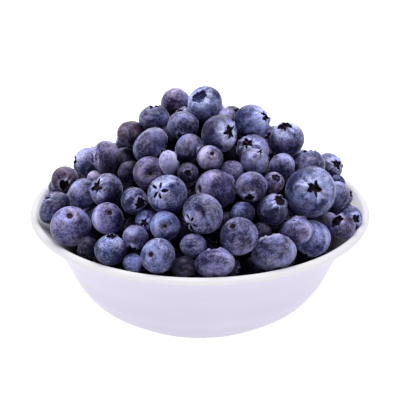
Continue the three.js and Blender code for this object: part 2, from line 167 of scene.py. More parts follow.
# Berries at the front, nearest first
FRONT_BERRIES = [
    # Along the lip
    FrontBerry(-51.6, -6.0, 16.4, 0.95, 0.07, -0.6, FAR, TEETH, "violet", bloom=0.16, marks=[
        ("pale", -0.5, 0.5, 40, 0.6, 0.35), ("pale", 0.2, 0.5, 0, 0.3, 0.15),
        ("dark", 0.6, -0.3, 80, 0.6, 0.4),
    ]),
    FrontBerry(
        -35.8, -15.4, 13.2, 0.9, 0.1, 0.95, NEAR, TEETH, "frosted",
        bloom=-0.23, crown_size=0.9, marks=[
            ("halo", 0.1, 0.95, 0, 0.62, 0.62), ("frost", -0.3, 0.25, -20, 0.5, 0.2),
            ("bare", 0.7, -0.5, 50, 0.7, 0.4), ("pale", -0.6, -0.3, 60, 0.3, 0.2),
        ],
    ),
    FrontBerry(-16.8, -17.8, 14.0, 0.95, 0.48, -0.1, FAR, TEETH, "frosted", bloom=-0.06, marks=[
        ("scuff", -0.3, 0.0, 80, 0.16, 0.1), ("pale", 0.3, 0.5, 150, 0.5, 0.15),
        ("dark", 0.5, -0.1, 80, 0.5, 0.15),
    ]),
    FrontBerry(5.8, -20.8, 16.2, 0.7, -0.05, 0.97, FAR, TEETH, "violet", bloom=0.01, marks=[
        ("dent", 0.05, -0.15, 0, 0.55, 0.4), ("pale", 0.0, 0.5, 0, 0.8, 0.15),
        ("pale", 0.0, -0.2, 0, 0.6, 0.4),
    ]),
    FrontBerry(29.6, -16.6, 18.6, 0.72, -0.2, 0.96, FAR, TEETH, "slate", bloom=0.11, marks=[
        ("dent", 0.0, 0.0, 10, 0.6, 0.3), ("pale", 0.85, 0.2, 80, 0.5, 0.12),
        ("pale", -0.2, 0.0, 10, 0.6, 0.3),
    ]),
    FrontBerry(38.4, -8.0, 14.0, 0.78, -0.3, 0.94, NEAR, FOLDED, "violet", bloom=-0.2, marks=[
        ("dent", 0.0, -0.1, 30, 0.4, 0.35), ("frost", 0.85, 0.1, 95, 0.6, 0.12),
        ("pit", -0.5, 0.5, 40, 0.16, 0.08),
    ]),
    FrontBerry(44.6, -10.6, 15.0, 0.95, -0.5, -0.85, NEAR, TEETH, "blue", bloom=0.26, marks=[
        ("pale", 0.3, 0.5, 100, 0.5, 0.1), ("frost", 0.8, 0.0, 95, 0.7, 0.07),
        ("crease", 0.62, 0.1, 95, 0.7, 0.07), ("pale", 0.1, -0.1, 60, 0.5, 0.12),
    ]),
    FrontBerry(
        57.0, -6.2, 10.2, 0.95, -0.48, 0.5, NEAR, TEETH, "mauve",
        bloom=-0.13, crown_size=1.35,
    ),
    FrontBerry(
        60.6, -2.2, 10.0, 0.9, 0.45, -0.1, NEAR, STAR, "blue",
        bloom=-0.36, crown_size=1.15, marks=[
            ("halo", 0.45, -0.1, 0, 0.5, 0.5), ("silver", 0.35, 0.25, 30, 0.35, 0.08),
            ("silver", 0.15, -0.35, 100, 0.35, 0.08),
        ],
    ),
    FrontBerry(-26.8, -20.6, 8.0, 0.95, 0.0, -0.98, NEAR, STAR, "blue", bloom=-0.04),
    FrontBerry(-6.4, -22.2, 9.6, 0.9, 0.3, -0.95, NEAR, STAR, "dark", bloom=-0.1),
    FrontBerry(12.4, -22.2, 8.0, 0.9, 0.9, -0.3, NEAR, TEETH, "dark", bloom=0.4),
    FrontBerry(-44.4, -14.2, 8.8, 0.9, -0.5, -0.85, NEAR, TEETH, "dark", bloom=-0.23),
    # Second row
    FrontBerry(-37.0, -2.8, 12.8, 0.95, -0.16, -0.4, FAR, TEETH, "violet", bloom=0.14, marks=[
        ("frost", -0.75, 0.1, 95, 0.6, 0.15), ("ridge", 0.0, -0.35, 30, 0.3, 0.05),
        ("bare", 0.7, -0.4, 70, 0.6, 0.3),
    ]),
    FrontBerry(-25.8, -10.2, 10.4, 0.92, -0.3, -0.93, NEAR, TEETH, "dusk", bloom=0.11, marks=[
        ("silver", -0.3, -0.62, -25, 0.4, 0.13), ("pale", -0.3, 0.3, 60, 0.4, 0.3),
    ]),
    FrontBerry(-14.0, -5.8, 12.0, 0.9, 0.0, 0.0, FAR, TEETH, "blue", bloom=0.02, marks=[
        ("funnel", 0.0, 0.0, 0, 0.42, 0.38), ("brim", -0.05, 0.05, 0, 0.56, 0.52),
        ("bare", 0.55, 0.35, 60, 0.5, 0.25), ("bare", 0.5, -0.6, 40, 0.5, 0.3),
        ("pale", -0.65, 0.1, 95, 0.5, 0.16), ("crease", 0.45, 0.2, 130, 0.4, 0.08),
        ("dark", -0.2, 0.65, 10, 0.4, 0.12),
    ]),
    FrontBerry(15.6, -10.0, 15.2, 0.97, 0.4, -0.62, FAR, STAR, "speckled", bloom=-0.06, marks=[
        ("pit", -0.35, 0.55, 30, 0.12, 0.1), ("pale", 0.75, 0.2, 80, 0.6, 0.15),
        ("dark", -0.6, -0.5, 60, 0.5, 0.3),
    ]),
    FrontBerry(-2.6, -13.8, 10.8, 0.95, -0.2, -0.97, NEAR, STAR, "speckled", bloom=0.2, marks=[
        ("crease", 0.0, 0.3, 0, 0.7, 0.06), ("crease", 0.0, 0.55, 0, 0.6, 0.06),
        ("crease", 0.0, 0.0, 0, 0.7, 0.06),
    ]),
    FrontBerry(-58.6, 1.8, 14.6, 0.72, -0.68, 0.73, NEAR, TEETH, "slate", bloom=-0.17),
    FrontBerry(24.4, -8.2, 8.4, 0.9, 0.3, -0.95, NEAR, STAR, "dark", bloom=0.4),
    FrontBerry(-21.4, -3.8, 8.8, 0.95, -0.2, -0.2, NEAR, STAR, "blue", bloom=-0.26),
    FrontBerry(51.2, -3.8, 7.6, 0.9, 0.6, -0.8, NEAR, TEETH, "mauve", bloom=0.17),
    FrontBerry(55.2, -0.2, 6.4, 0.9, 0.7, -0.7, NEAR, TEETH, "blue", bloom=0.3),
    # Third row
    FrontBerry(
        1.2, -0.8, 16.8, 0.88, -0.68, -0.5, NEAR, FOLDED, "slate",
        bloom=0.04, crown_size=0.95, marks=[
            ("hollow", 0.05, -0.05, 115, 0.55, 0.24), ("ridge", 0.3, -0.25, 117, 0.36, 0.08),
            ("frost", 0.31, -0.26, 117, 0.33, 0.05), ("bare", 0.1, -0.1, 115, 0.5, 0.14),
            ("pale", 0.68, -0.3, 100, 0.4, 0.12), ("brim", -0.48, -0.5, 0, 0.5, 0.5),
            ("dark", -0.1, 0.4, 20, 0.5, 0.2),
        ],
    ),
    FrontBerry(
        44.2, 7.8, 20.4, 0.97, 0.16, 0.15, NEAR, STAR, "frosted",
        bloom=-0.14, crown_size=0.85, crown_turn=36, marks=[
            ("pale", 0.8, 0.1, 95, 0.7, 0.14), ("bare", -0.75, 0.2, 80, 0.6, 0.18),
            ("frost", -0.15, -0.15, 145, 0.25, 0.1), ("bare", 0.45, -0.55, 30, 0.5, 0.2),
            ("dark", 0.55, 0.45, 120, 0.4, 0.15), ("frost", -0.2, 0.25, 40, 0.25, 0.08),
            ("frost", 0.35, -0.2, 100, 0.2, 0.07),
        ],
    ),
    FrontBerry(
        -37.4, 8.6, 13.6, 0.95, -0.58, 0.2, NEAR, STAR, "slate",
        bloom=-0.09, crown_size=1.05, crown_turn=20, marks=[
            ("bare", 0.6, -0.2, 90, 0.8, 0.45), ("frost", -0.35, -0.4, 20, 0.4, 0.2),
            ("ridge", 0.0, 0.2, 80, 0.4, 0.06), ("brim", -0.58, 0.2, 0, 0.5, 0.5),
            ("silver", -0.5, 0.45, 30, 0.3, 0.06), ("silver", -0.5, -0.2, -30, 0.25, 0.06),
        ],
    ),
    FrontBerry(
        -26.4, 4.2, 10.6, 0.95, 0.5, -0.2, NEAR, TEETH, "speckled",
        bloom=-0.07, crown_size=1.15, marks=[
            ("scuff", 0.18, -0.05, 40, 0.16, 0.1), ("frost", -0.6, 0.3, 60, 0.5, 0.2),
            ("bare", 0.5, 0.5, 130, 0.5, 0.25),
        ],
    ),
    FrontBerry(
        -13.0, 7.0, 15.8, 0.92, -0.47, 0.2, NEAR, FOLDED, "frosted",
        bloom=-0.22, crown_size=1.05, crown_turn=0, marks=[
            ("frost", -0.1, 0.6, 20, 0.5, 0.2), ("dark", 0.5, -0.4, 70, 0.6, 0.3),
            ("pale", 0.1, -0.1, 120, 0.4, 0.1), ("frost", -0.62, 0.25, 80, 0.5, 0.22),
            ("pale", -0.3, -0.35, 110, 0.5, 0.15),
        ],
    ),
    FrontBerry(
        29.0, 0.6, 12.4, 0.95, 0.48, 0.65, NEAR, TEETH, "slate",
        bloom=-0.15, crown_size=1.1, marks=[
            ("pale", -0.45, -0.1, 60, 0.7, 0.4), ("pale", 0.0, 0.3, 40, 0.5, 0.2),
            ("ridge", 0.15, 0.25, 40, 0.3, 0.06), ("brim", 0.48, 0.65, 0, 0.62, 0.62),
        ],
    ),
    FrontBerry(17.0, -0.6, 9.6, 0.95, 0.0, -0.98, NEAR, STAR, "blue", bloom=-0.34),
    FrontBerry(-46.7, 7.2, 12.6, 0.92, 0.85, -0.45, NEAR, STAR, "slate", bloom=0.01, marks=[
        ("frost", -0.5, 0.6, 40, 0.6, 0.2), ("pale", -0.3, 0.1, 80, 0.5, 0.3),
    ]),
    FrontBerry(54.6, 6.6, 10.8, 0.95, -0.95, 0.1, NEAR, STAR, "slate", bloom=0.26),
    FrontBerry(57.4, 6.2, 8.0, 0.9, 0.85, 0.2, NEAR, TEETH, "dusk", bloom=0.14),
    # Fourth row
    FrontBerry(-54.2, 12.8, 10.8, 0.9, -0.05, -0.45, NEAR, TEETH, "red", bloom=0.18),
    FrontBerry(-57.2, 9.8, 8.6, 0.9, 0.9, 0.3, NEAR, STAR, "slate", bloom=0.2),
    FrontBerry(6.1, 8.8, 16.6, 0.92, 0.88, 0.0, FAR, TEETH, "violet", marks=[
        ("pale", -0.3, 0.6, 30, 0.6, 0.3), ("bare", 0.4, -0.5, 30, 0.9, 0.5),
        ("scuff", -0.9, 0.1, 80, 0.2, 0.12),
    ]),
    FrontBerry(
        20.6, 9.8, 12.6, 0.95, -0.15, -0.72, NEAR, TEETH, "dusk",
        bloom=0.11, crown_size=0.85, marks=[
            ("pale", -0.1, 0.6, 0, 0.7, 0.3), ("ridge", 0.0, -0.35, 0, 0.4, 0.05),
        ],
    ),
    FrontBerry(29.4, 11.6, 8.8, 0.95, 0.28, 0.45, NEAR, RING, "mauve", bloom=-0.07),
    FrontBerry(-12.6, 20.2, 11.2, 0.8, 0.95, 0.2, FAR, STAR, "pale", bloom=0.34, marks=[
        ("pinch", -0.95, 0.5, 100, 0.9, 0.55), ("pinch", 0.95, 0.5, 80, 0.9, 0.55),
        ("dent", 0.8, 0.25, 0, 0.22, 0.16), ("dent", 0.85, -0.3, 0, 0.22, 0.16),
        ("dent", -0.8, -0.15, 0, 0.2, 0.15), ("frost", 0.6, -0.05, 95, 0.5, 0.12),
        ("pale", 0.45, 0.4, 95, 0.3, 0.15), ("dark", -0.15, 0.1, 80, 0.35, 0.15),
        ("dark", 0.1, -0.35, 30, 0.25, 0.1), ("bare", -0.45, -0.5, 20, 0.3, 0.12),
    ]),
    FrontBerry(-20.0, 15.2, 13.6, 0.92, -0.05, 0.0, FAR, TEETH, "mauve", bloom=-0.07, marks=[
        ("funnel", 0.1, 0.0, 0, 0.42, 0.4), ("brim", 0.1, 0.0, 0, 0.66, 0.6),
        ("scuff", 0.38, -0.12, 75, 0.3, 0.06), ("pale", -0.5, 0.35, 50, 0.5, 0.15),
        ("dark", 0.2, -0.55, 10, 0.5, 0.2),
    ]),
    FrontBerry(-4.8, 15.4, 8.4, 0.95, 0.0, 0.0, NEAR, RING, "dark"),
    FrontBerry(-28.2, 15.8, 9.6, 0.92, 0.2, -0.97, NEAR, STAR, "dark"),
    FrontBerry(-42.0, 13.6, 6.4, 0.9, 0.3, -0.95, NEAR, STAR, "pale", bloom=-0.04, marks=[
        ("frost", 0.0, 0.2, 0, 0.7, 0.5),
    ]),
    FrontBerry(55.6, 12.0, 7.2, 0.9, -0.9, -0.4, NEAR, STAR, "slate", bloom=-0.26),
    # Fifth row
    FrontBerry(4.0, 21.4, 10.4, 0.97, -0.2, -0.4, FAR, STAR, "pale", bloom=0.07, marks=[
        ("frost", -0.6, 0.3, 70, 0.6, 0.2), ("dent", 0.1, 0.3, 0, 0.2, 0.15),
    ]),
    FrontBerry(
        21.8, 20.3, 11.2, 0.88, 0.45, 0.72, NEAR, STAR, "slate",
        bloom=0.04, crown_size=0.7, marks=[
            ("crease", 0.05, 0.5, 70, 0.4, 0.1), ("frost", -0.3, 0.4, 60, 0.4, 0.15),
            ("pit", 0.5, 0.4, 140, 0.2, 0.07),
        ],
    ),
    FrontBerry(32.8, 18.4, 10.2, 0.95, 0.3, -0.95, NEAR, STAR, "speckled", bloom=0.07, marks=[
        ("frost", 0.75, 0.3, 110, 0.5, 0.12), ("bare", 0.2, -0.6, 0, 0.8, 0.3),
        ("pale", -0.2, 0.5, 20, 0.5, 0.25),
    ]),
    FrontBerry(12.8, 16.2, 9.4, 0.9, -0.1, -0.98, NEAR, STAR, "violet", bloom=0.38),
    FrontBerry(43.6, 18.6, 12.8, 0.92, 0.0, 0.99, NEAR, TEETH, "slate", bloom=-0.15, marks=[
        ("pale", -0.2, 0.2, 60, 0.5, 0.1), ("dark", 0.3, -0.3, 60, 0.5, 0.15),
    ]),
    FrontBerry(52.3, 18.6, 11.6, 0.97, 0.58, 0.22, NEAR, STAR, "slate", bloom=0.01, marks=[
        ("brim", 0.58, 0.22, 0, 0.5, 0.5),
    ]),
    FrontBerry(-37.7, 22.0, 12.8, 0.88, -0.96, -0.1, NEAR, TEETH, "mauve", bloom=0.14, marks=[
        ("silver", -0.8, 0.05, 92, 0.6, 0.07), ("scuff", -0.66, -0.3, 85, 0.45, 0.13),
        ("crease", -0.72, -0.25, 80, 0.5, 0.06), ("scuff", -0.4, -0.6, 60, 0.25, 0.12),
        ("silver", -0.55, -0.35, 80, 0.4, 0.06), ("dark", 0.2, 0.1, 80, 0.5, 0.3),
    ]),
    FrontBerry(-44.8, 19.8, 11.6, 0.92, -0.99, 0.05, NEAR, TEETH, "slate", bloom=0.09, marks=[
        ("frost", -0.5, 0.4, 60, 0.5, 0.25),
    ]),
    # Crest
    FrontBerry(-19.8, 26.6, 15.6, 0.75, 0.7, -0.68, NEAR, TEETH, "dusk", marks=[
        ("frost", -0.75, 0.25, 70, 0.6, 0.12), ("pale", 0.0, 0.8, 0, 0.6, 0.15),
        ("bare", 0.3, -0.6, 0, 0.7, 0.3),
    ]),
    FrontBerry(-4.4, 25.2, 12.0, 0.92, 0.93, -0.2, NEAR, TEETH, "dusk", bloom=0.09, marks=[
        ("silver", 0.75, -0.1, 100, 0.3, 0.16), ("bare", 0.0, -0.7, 0, 0.8, 0.3),
    ]),
    FrontBerry(
        7.7, 31.0, 14.8, 0.95, 0.6, 0.12, NEAR, STAR, "slate",
        bloom=-0.03, crown_size=1.05, marks=[
            ("halo", 0.6, 0.12, 0, 0.55, 0.55), ("silver", 0.85, -0.2, 100, 0.5, 0.1),
            ("bare", -0.3, -0.7, 20, 0.7, 0.3), ("frost", 0.22, 0.05, 95, 0.5, 0.1),
            ("silver", 0.5, -0.38, 20, 0.3, 0.08),
        ],
    ),
    FrontBerry(
        21.0, 24.4, 13.2, 0.95, -0.33, 0.48, NEAR, STAR, "slate",
        bloom=0.13, crown_turn=10, marks=[
            ("pale", -0.5, 0.2, 60, 0.4, 0.2), ("frost", 0.5, 0.3, 130, 0.4, 0.12),
        ],
    ),
    FrontBerry(
        34.8, 29.0, 13.8, 0.95, -0.12, 0.8, NEAR, TEETH, "slate",
        bloom=0.18, crown_size=0.95, marks=[
            ("halo", -0.12, 0.84, 0, 0.6, 0.6), ("frost", -0.05, 0.15, 0, 0.45, 0.2),
            ("bare", 0.1, -0.6, 0, 0.9, 0.35),
        ],
    ),
    FrontBerry(
        -6.7, 34.5, 12.6, 0.85, -0.12, -0.82, NEAR, TEETH, "slate",
        bloom=0.1, crown_size=0.85, marks=[
            ("pale", 0.0, 0.6, 0, 0.7, 0.2), ("dark", 0.3, -0.3, 30, 0.5, 0.3),
        ],
    ),
    FrontBerry(-27.7, 31.0, 11.2, 0.95, 0.2, -0.97, NEAR, STAR, "red", bloom=-0.02, marks=[
        ("bare", 0.5, -0.4, 60, 0.7, 0.4), ("scuff", 0.35, 0.1, 40, 0.25, 0.2),
        ("pale", -0.4, 0.4, 50, 0.5, 0.3),
    ]),
    FrontBerry(-18.5, 37.6, 12.6, 0.8, 0.0, 0.97, NEAR, TEETH, "slate", bloom=-0.21, marks=[
        ("pale", -0.3, 0.1, 0, 0.6, 0.12), ("ridge", 0.75, 0.2, 110, 0.4, 0.05),
    ]),
    FrontBerry(
        20.7, 35.7, 14.6, 0.97, 0.74, 0.3, NEAR, STAR, "blue",
        bloom=-0.08, crown_size=0.9, crown_turn=30, marks=[
            ("pale", -0.2, 0.1, 35, 0.8, 0.12), ("pale", 0.1, -0.3, 30, 0.6, 0.1),
            ("bare", -0.4, -0.7, 20, 0.6, 0.2), ("brim", 0.74, 0.3, 0, 0.5, 0.5),
        ],
    ),
    FrontBerry(
        2.0, 43.1, 14.2, 0.92, -0.38, 0.44, NEAR, RING, "frosted",
        bloom=0.04, crown_size=1.1, marks=[
            ("silver", 0.0, 0.12, 55, 0.34, 0.14), ("frost", -0.45, 0.0, -35, 0.3, 0.12),
            ("shade", -0.38, 0.56, 15, 0.34, 0.2), ("bare", -0.2, -0.75, 10, 0.8, 0.3),
            ("dark", 0.4, -0.3, 30, 0.5, 0.3),
        ],
    ),
    FrontBerry(-10.2, 45.1, 12.0, 0.95, 0.0, 0.98, FAR, STAR, "mauve", bloom=-0.05, marks=[
        ("dent", 0.0, 0.1, 0, 0.4, 0.35), ("pale", -0.4, 0.5, 40, 0.4, 0.2),
    ]),
    FrontBerry(10.2, 38.2, 7.6, 0.9, 0.2, -0.97, NEAR, STAR, "pale", bloom=0.06, marks=[
        ("frost", 0.0, 0.3, 0, 0.8, 0.5),
    ]),
]

# Berries over the rest of the heap: sizes across and the most of each, largest first, how
# high over the dome they are tried, in radii, and the spots of the spiral that they are
# tried on, with the stride through it and its edge as a share of the dome. Their crowns
# and looks are drawn from those named here.
REST_SIZES = [(17.0, 5), (15.5, 10), (14.0, 16), (12.5, 16), (11.0, 12), (9.5, 8), (8.0, 8)]
REST_SEATS = (0.72, 0.4, 0.1)
REST_SPOTS = 900
REST_STRIDE = 371
REST_EDGE = 0.95
REST_CROWNS = (STAR, TEETH, RING, FOLDED)
REST_LOOKS = (
    "violet", "slate", "dusk", "blue", "frosted", "slate", "violet", "mauve", "speckled", "red"
)
# The smallest of a size and how much larger they get, as shares of it, and how strongly
# their crowns turn out of the heap
REST_SMALLEST = 0.95
REST_SPREAD = 0.1
REST_OUTWARD = 0.6
# Points round a berry's edge that are looked at to see whether it is hidden
HIDDEN_CHECKS = 12
GOLDEN_ANGLE = math.pi * (3 - math.sqrt(5))
# Draws: the seeds of places, of looks and of how berries grow, and the generator's numbers
REST_SEED = 20417
LOOK_SEED = 5153
DEEP_SEED = 5153
GROWTH_SEEDS = {STAR: 101, TEETH: 211, RING: 523, FOLDED: 307}
DEEP_GROWTH_SEED = 401
DRAW_FACTOR = 16807
DRAW_RANGE = 2147483647

# Berries that show deep in the gaps, in the same way. They keep the dark look, which is painted
# shade deep in the heap.
DEEP_SIZES = [(13.0, 60), (10.5, 60)]
DEEP_SEATS = (-0.3, -0.7, -1.1, -1.5)
DEEP_TOUCH = 0.82
DEEP_SPOTS = 420
DEEP_STRIDE = 173

# Looks of the skin: its colour, the colour of its bloom, and how much bloom it has
LOOKS = {
    "blue": ((0.013, 0.014, 0.060), (0.28, 0.32, 0.62), 0.46),
    "frosted": ((0.016, 0.018, 0.068), (0.34, 0.385, 0.68), 0.52),
    "violet": ((0.018, 0.013, 0.052), (0.31, 0.30, 0.56), 0.45),
    "dusk": ((0.013, 0.010, 0.037), (0.27, 0.265, 0.48), 0.41),
    "slate": ((0.013, 0.012, 0.041), (0.29, 0.30, 0.53), 0.43),
    "mauve": ((0.022, 0.013, 0.042), (0.33, 0.30, 0.52), 0.45),
    "red": ((0.025, 0.012, 0.026), (0.245, 0.21, 0.335), 0.36),
    "speckled": ((0.015, 0.014, 0.054), (0.34, 0.345, 0.62), 0.42),
    "pale": ((0.036, 0.031, 0.085), (0.44, 0.42, 0.68), 0.46),
    # The dark look is painted shade on the deep berries, and the look of a few dark berries at the
    # front.
    "dark": ((0.008, 0.006, 0.016), (0.15, 0.127, 0.235), 0.20),
}

# Marks on a berry's skin: how deep each is as a share of the radius, how much bloom it adds or
# takes off, partly as painted light and shade, and how brown it is
MARKS = {
    # Bloom taken off dents, hollows, funnels, pits and creases is painted shade in those recesses.
    "dent": (0.10, -0.10, 0.0),
    "hollow": (0.20, -0.22, 0.0),
    "pinch": (0.26, 0.0, 0.0),
    "funnel": (0.28, -0.45, 0.35),
    "pit": (0.16, -0.6, 0.3),
    "crease": (0.06, -0.35, 0.0),
    # Bloom on a ridge is a painted highlight.
    "ridge": (-0.035, 0.45, 0.0),
    "brim": (-0.04, 0.22, 0.0),
    "halo": (-0.03, 0.5, 0.0),
    # Pale, frost and silver marks are partly thicker bloom and partly painted highlights on lit
    # tops and rims.
    "pale": (0.0, 0.28, 0.0),
    "frost": (0.0, 0.55, 0.0),
    "silver": (0.0, 1.1, 0.0),
    # Dark and bare marks are partly rubbed bloom and partly painted shade on shaded sides; shade
    # marks are painted shade in a crown's cup.
    "dark": (0.0, -0.22, 0.0),
    "shade": (0.0, -1.2, 0.0),
    "bare": (0.0, -0.34, 0.0),
    "scuff": (0.02, -0.1, 0.75),
}
# Marks that lie round their place and not over it, and their width as a share
ROUND_MARKS = ("brim", "halo")
ROUND_WIDTH = 0.35

# One berry of radius 1. Its rings of points go from pole to pole, the crown and the stem
# end take the place of those past CROWN_EDGE and STEM_EDGE, and its sides share out evenly
# over the lobes.
FRONT_SIDES = 60
FRONT_RINGS = 30
REST_SIDES = 30
REST_RINGS = 18
DEEP_SIDES = 20
DEEP_RINGS = 10
LOBES = 5
CROWN_EDGE = 0.87
STEM_EDGE = -0.95
# Rings of the stem end, from the outside in: reach, height and how brown it is. Those from
# STEM_HOLLOW_FROM on are dark.
STEM_RINGS = [
    (0.290, -0.940, 0.0),
    (0.235, -0.938, 0.15),
    (0.195, -0.925, 0.55),
    (0.160, -0.890, 0.5),
    (0.110, -0.850, 0.2),
    (0.040, -0.835, 0.3),
]
STEM_HOLLOW_FROM = 4
# Rings of each crown, from the outside in: reach and height at a lobe's tip, reach and
# height between lobes, and how sharp the lobes are
CROWNS = {
    STAR: [
        (0.470, 0.884, 0.460, 0.886, 1.0),
        (0.440, 0.912, 0.330, 0.945, 1.2),
        (0.410, 0.940, 0.205, 0.990, 1.3),
        (0.385, 0.905, 0.185, 0.955, 1.3),
        (0.290, 0.870, 0.165, 0.885, 1.2),
        (0.130, 0.830, 0.110, 0.830, 1.0),
        (0.050, 0.842, 0.050, 0.842, 1.0),
    ],
    TEETH: [
        (0.480, 0.877, 0.475, 0.880, 1.0),
        (0.455, 0.897, 0.425, 0.935, 1.6),
        (0.430, 0.910, 0.375, 1.030, 1.6),
        (0.415, 0.895, 0.340, 1.030, 1.6),
        (0.370, 0.850, 0.285, 0.900, 1.4),
        (0.240, 0.800, 0.220, 0.800, 1.0),
        (0.080, 0.800, 0.080, 0.800, 1.0),
    ],
    RING: [
        (0.480, 0.877, 0.475, 0.880, 1.0),
        (0.460, 0.905, 0.440, 0.925, 1.3),
        (0.430, 0.915, 0.400, 0.985, 1.4),
        (0.410, 0.890, 0.370, 0.960, 1.4),
        (0.385, 0.810, 0.350, 0.830, 1.2),
        (0.330, 0.780, 0.320, 0.780, 1.0),
        (0.180, 0.800, 0.180, 0.800, 1.0),
        (0.070, 0.790, 0.070, 0.790, 1.0),
    ],
    FOLDED: [
        (0.475, 0.880, 0.475, 0.880, 1.0),
        (0.430, 0.925, 0.430, 0.905, 0.7),
        (0.380, 0.960, 0.380, 0.850, 0.55),
        (0.290, 0.985, 0.290, 0.835, 0.5),
        (0.190, 0.985, 0.190, 0.840, 0.45),
        (0.110, 0.965, 0.110, 0.890, 0.4),
        (0.050, 0.940, 0.050, 0.930, 1.0),
    ],
}
# Rings that are dark all round, partly the crown's own dark inside and partly painted shade in the
# hollow. Elsewhere only clefts are, as painted shade in them, which lie this far below the tips.
HOLLOW_RINGS = {STAR: range(3, 7), TEETH: range(4, 7), FOLDED: (), RING: ()}
LOBE_CLEFT = 0.05
# The ring from which a dark crown has its floor, and how dry and brown that is
CROWN_FLOOR_FROM = 5
CROWN_FLOOR = {STAR: 0.5, TEETH: 0.15}
# How uneven crowns are between the heights of CROWN_REACH: turns of lobes in radians, shares
# of their reach and height, ragged edges and the twist of their middle, with the numbers of
# waves round them
CROWN_REACH = (0.55, 0.88)
CROWN_SIZES = (0.85, 1.15)
LOBE_TURN = 0.10
TURN_WAVES = (1, 2)
LOBE_REACH = 0.09
REACH_WAVES = (2, 3)
LOBE_HEIGHT = 0.04
HEIGHT_WAVES = (1, 2)
LOBE_RAG = 0.05
RAG_WAVES = (7, 9, 13, 19)
RAG_HEIGHT_WAVES = (6, 8)
LOBE_TWIST = 0.9
TWIST_REACH = 0.45
# Lumps of a whole berry: how many, how large, and the fewest waves of one and how many more
LUMPS = 5
LUMP_SIZE = 0.022
LUMP_WAVES = (1.5, 2.5)
# Bloom: how much it differs from berry to berry, how much is rubbed off, and how much more
# there is round a crown, in rays out of it and round a stem, each in a band with the height
# of its middle and its width
BLOOM_SPREAD = 0.16
BLOOM_RUBBED = 0.10
CROWN_BLOOM = 0.5
CROWN_BAND = (0.95, 0.10)
RAY_BLOOM = 0.08
RAY_BAND = (0.88, 0.16)
RAY_WAVES = (11, 17, 23)
STEM_BLOOM = 0.1
STEM_BAND = (-0.94, 0.05)
# Bloom taken off the floor and, more, off the wall of a crown's open cup, as painted shade in it,
# and where the cup is
CUP_FLOOR_SHADE = -0.35
CUP_WALL_SHADE = -0.9
CUP_TOP = 0.85
CUP_REACH = 0.4
CUP_FLOOR_REACH = 0.28
# How far apart the patterns of two skins can start, and the tints of their cooler and
# warmer patches
PATTERN_SHIFT = 100
COOL_TINT = (0.88, 0.92, 1.09, 1.0)
WARM_TINT = (1.14, 1.01, 0.95, 1.0)
# Sockets of a Mix node that mixes colours
MIX_FIRST = 6
MIX_SECOND = 7
MIX_RESULT = 2
# What each point of a berry holds for its materials, and the kind of its values
LAYERS = {
    "berry_place": ("FLOAT_VECTOR", "vector"),
    "bloom": ("FLOAT", "value"),
    "scar": ("FLOAT", "value"),
    "skin_colour": ("FLOAT_COLOR", "color"),
    "bloom_colour": ("FLOAT_COLOR", "color"),
}

# Lights: the way to each from the middle of the lip, its distance and its size in metres,
# and whether it leaves out the bowl or lights nothing else. The berries' lights would make
# the bowl as white as the background, so the bowl has a soft light of its own.
LIGHTS = {
    "top_light": ((-0.15, 0.1, 1.0), 1.0, 0.7, "EXCLUDE"),
    "left_light": ((-1.0, 0.1, 0.45), 0.9, 0.7, "EXCLUDE"),
    "right_light": ((1.0, 0.1, 0.45), 0.9, 0.7, "EXCLUDE"),
    "back_light": ((0.0, 1.0, 0.8), 1.0, 0.9, "EXCLUDE"),
    "bowl_light": ((0.0, -0.1, 1.0), 1.0, 1.6, "INCLUDE"),
}
# The stage's floor, in metres
FLOOR_SIZE = 6.0
WHITE = (1.0, 1.0, 1.0, 1.0)


def lip_arc(start, end, spare, steps=LIP_STEPS):
    """Points round the bead of the lip, seen in section, at a spare distance from it."""
    bead = LIP_THICKNESS / 2
    turns = np.radians(start + (end - start) * np.arange(steps + 1) / steps)
    around = np.stack([np.cos(turns), np.sin(turns)], axis=1)
    return around * (bead + spare) + (LIP_ACROSS / 2 - bead, LIP_HEIGHT)


def wall_point(share):
    """Point on the outside of the wall in section, from the foot, 0, to the lip, 1."""
    corners = np.array([*WALL_OUTSIDE, lip_arc(LIP_TURN_FROM, LIP_TURN_TO, 0)[0]])
    last = len(corners) - 1
    place = min(max(share, 0), 1) * last
    index = min(int(place), last - 1)
    weight = place - index
    before, start, end, after = corners[np.clip(np.arange(index - 1, index + 3), 0, last)]
    leave, arrive = (end - before) / 2, (after - start) / 2
    cubic = 2 * start - 2 * end + leave + arrive
    square = 3 * end - 3 * start - 2 * leave - arrive
    return ((cubic * weight + square) * weight + leave) * weight + start


def wall_inside(spare, steps=WALL_STEPS):
    """Inside of the wall in section, from the floor up to the lip, a spare distance off it."""
    points = []
    reach = 1e-4
    for step in range(steps):
        share = step / steps
        along = wall_point(share + reach) - wall_point(share - reach)
        along /= np.linalg.norm(along)
        inward = np.array([-along[1], along[0]])
        points.append(wall_point(share) + inward * (WALL_THICKNESS + spare))
    floor = FLOOR_HEIGHT + spare
    clear = [point for point in points if point[1] > floor + FLOOR_CLEARANCE]
    last = points[len(points) - len(clear) - 1]
    share = (floor - last[1]) / (clear[0][1] - last[1])
    return [np.array([last[0] + (clear[0][0] - last[0]) * share, floor]), *clear]


# What the berries keep off: the inside of the bowl and of its lip, in section
LINER = np.array([*wall_inside(GAP_TO_BOWL), *lip_arc(LIP_TURN_TO, LIP_TURN_INSIDE, GAP_TO_BOWL)])


def core_height(x, y):
    """Height of the dome's top over a point of the floor."""
    lean = CORE_LEAN * np.maximum(0, 1 - np.hypot(x, y) / CORE_RADIUS)
    out = np.hypot(x - lean, np.where(y > 0, y * CORE_BACK_SQUEEZE, y)) / CORE_RADIUS
    return LIP_HEIGHT + CORE_EDGE + CORE_RISE * (1 - out**CORE_POWER)


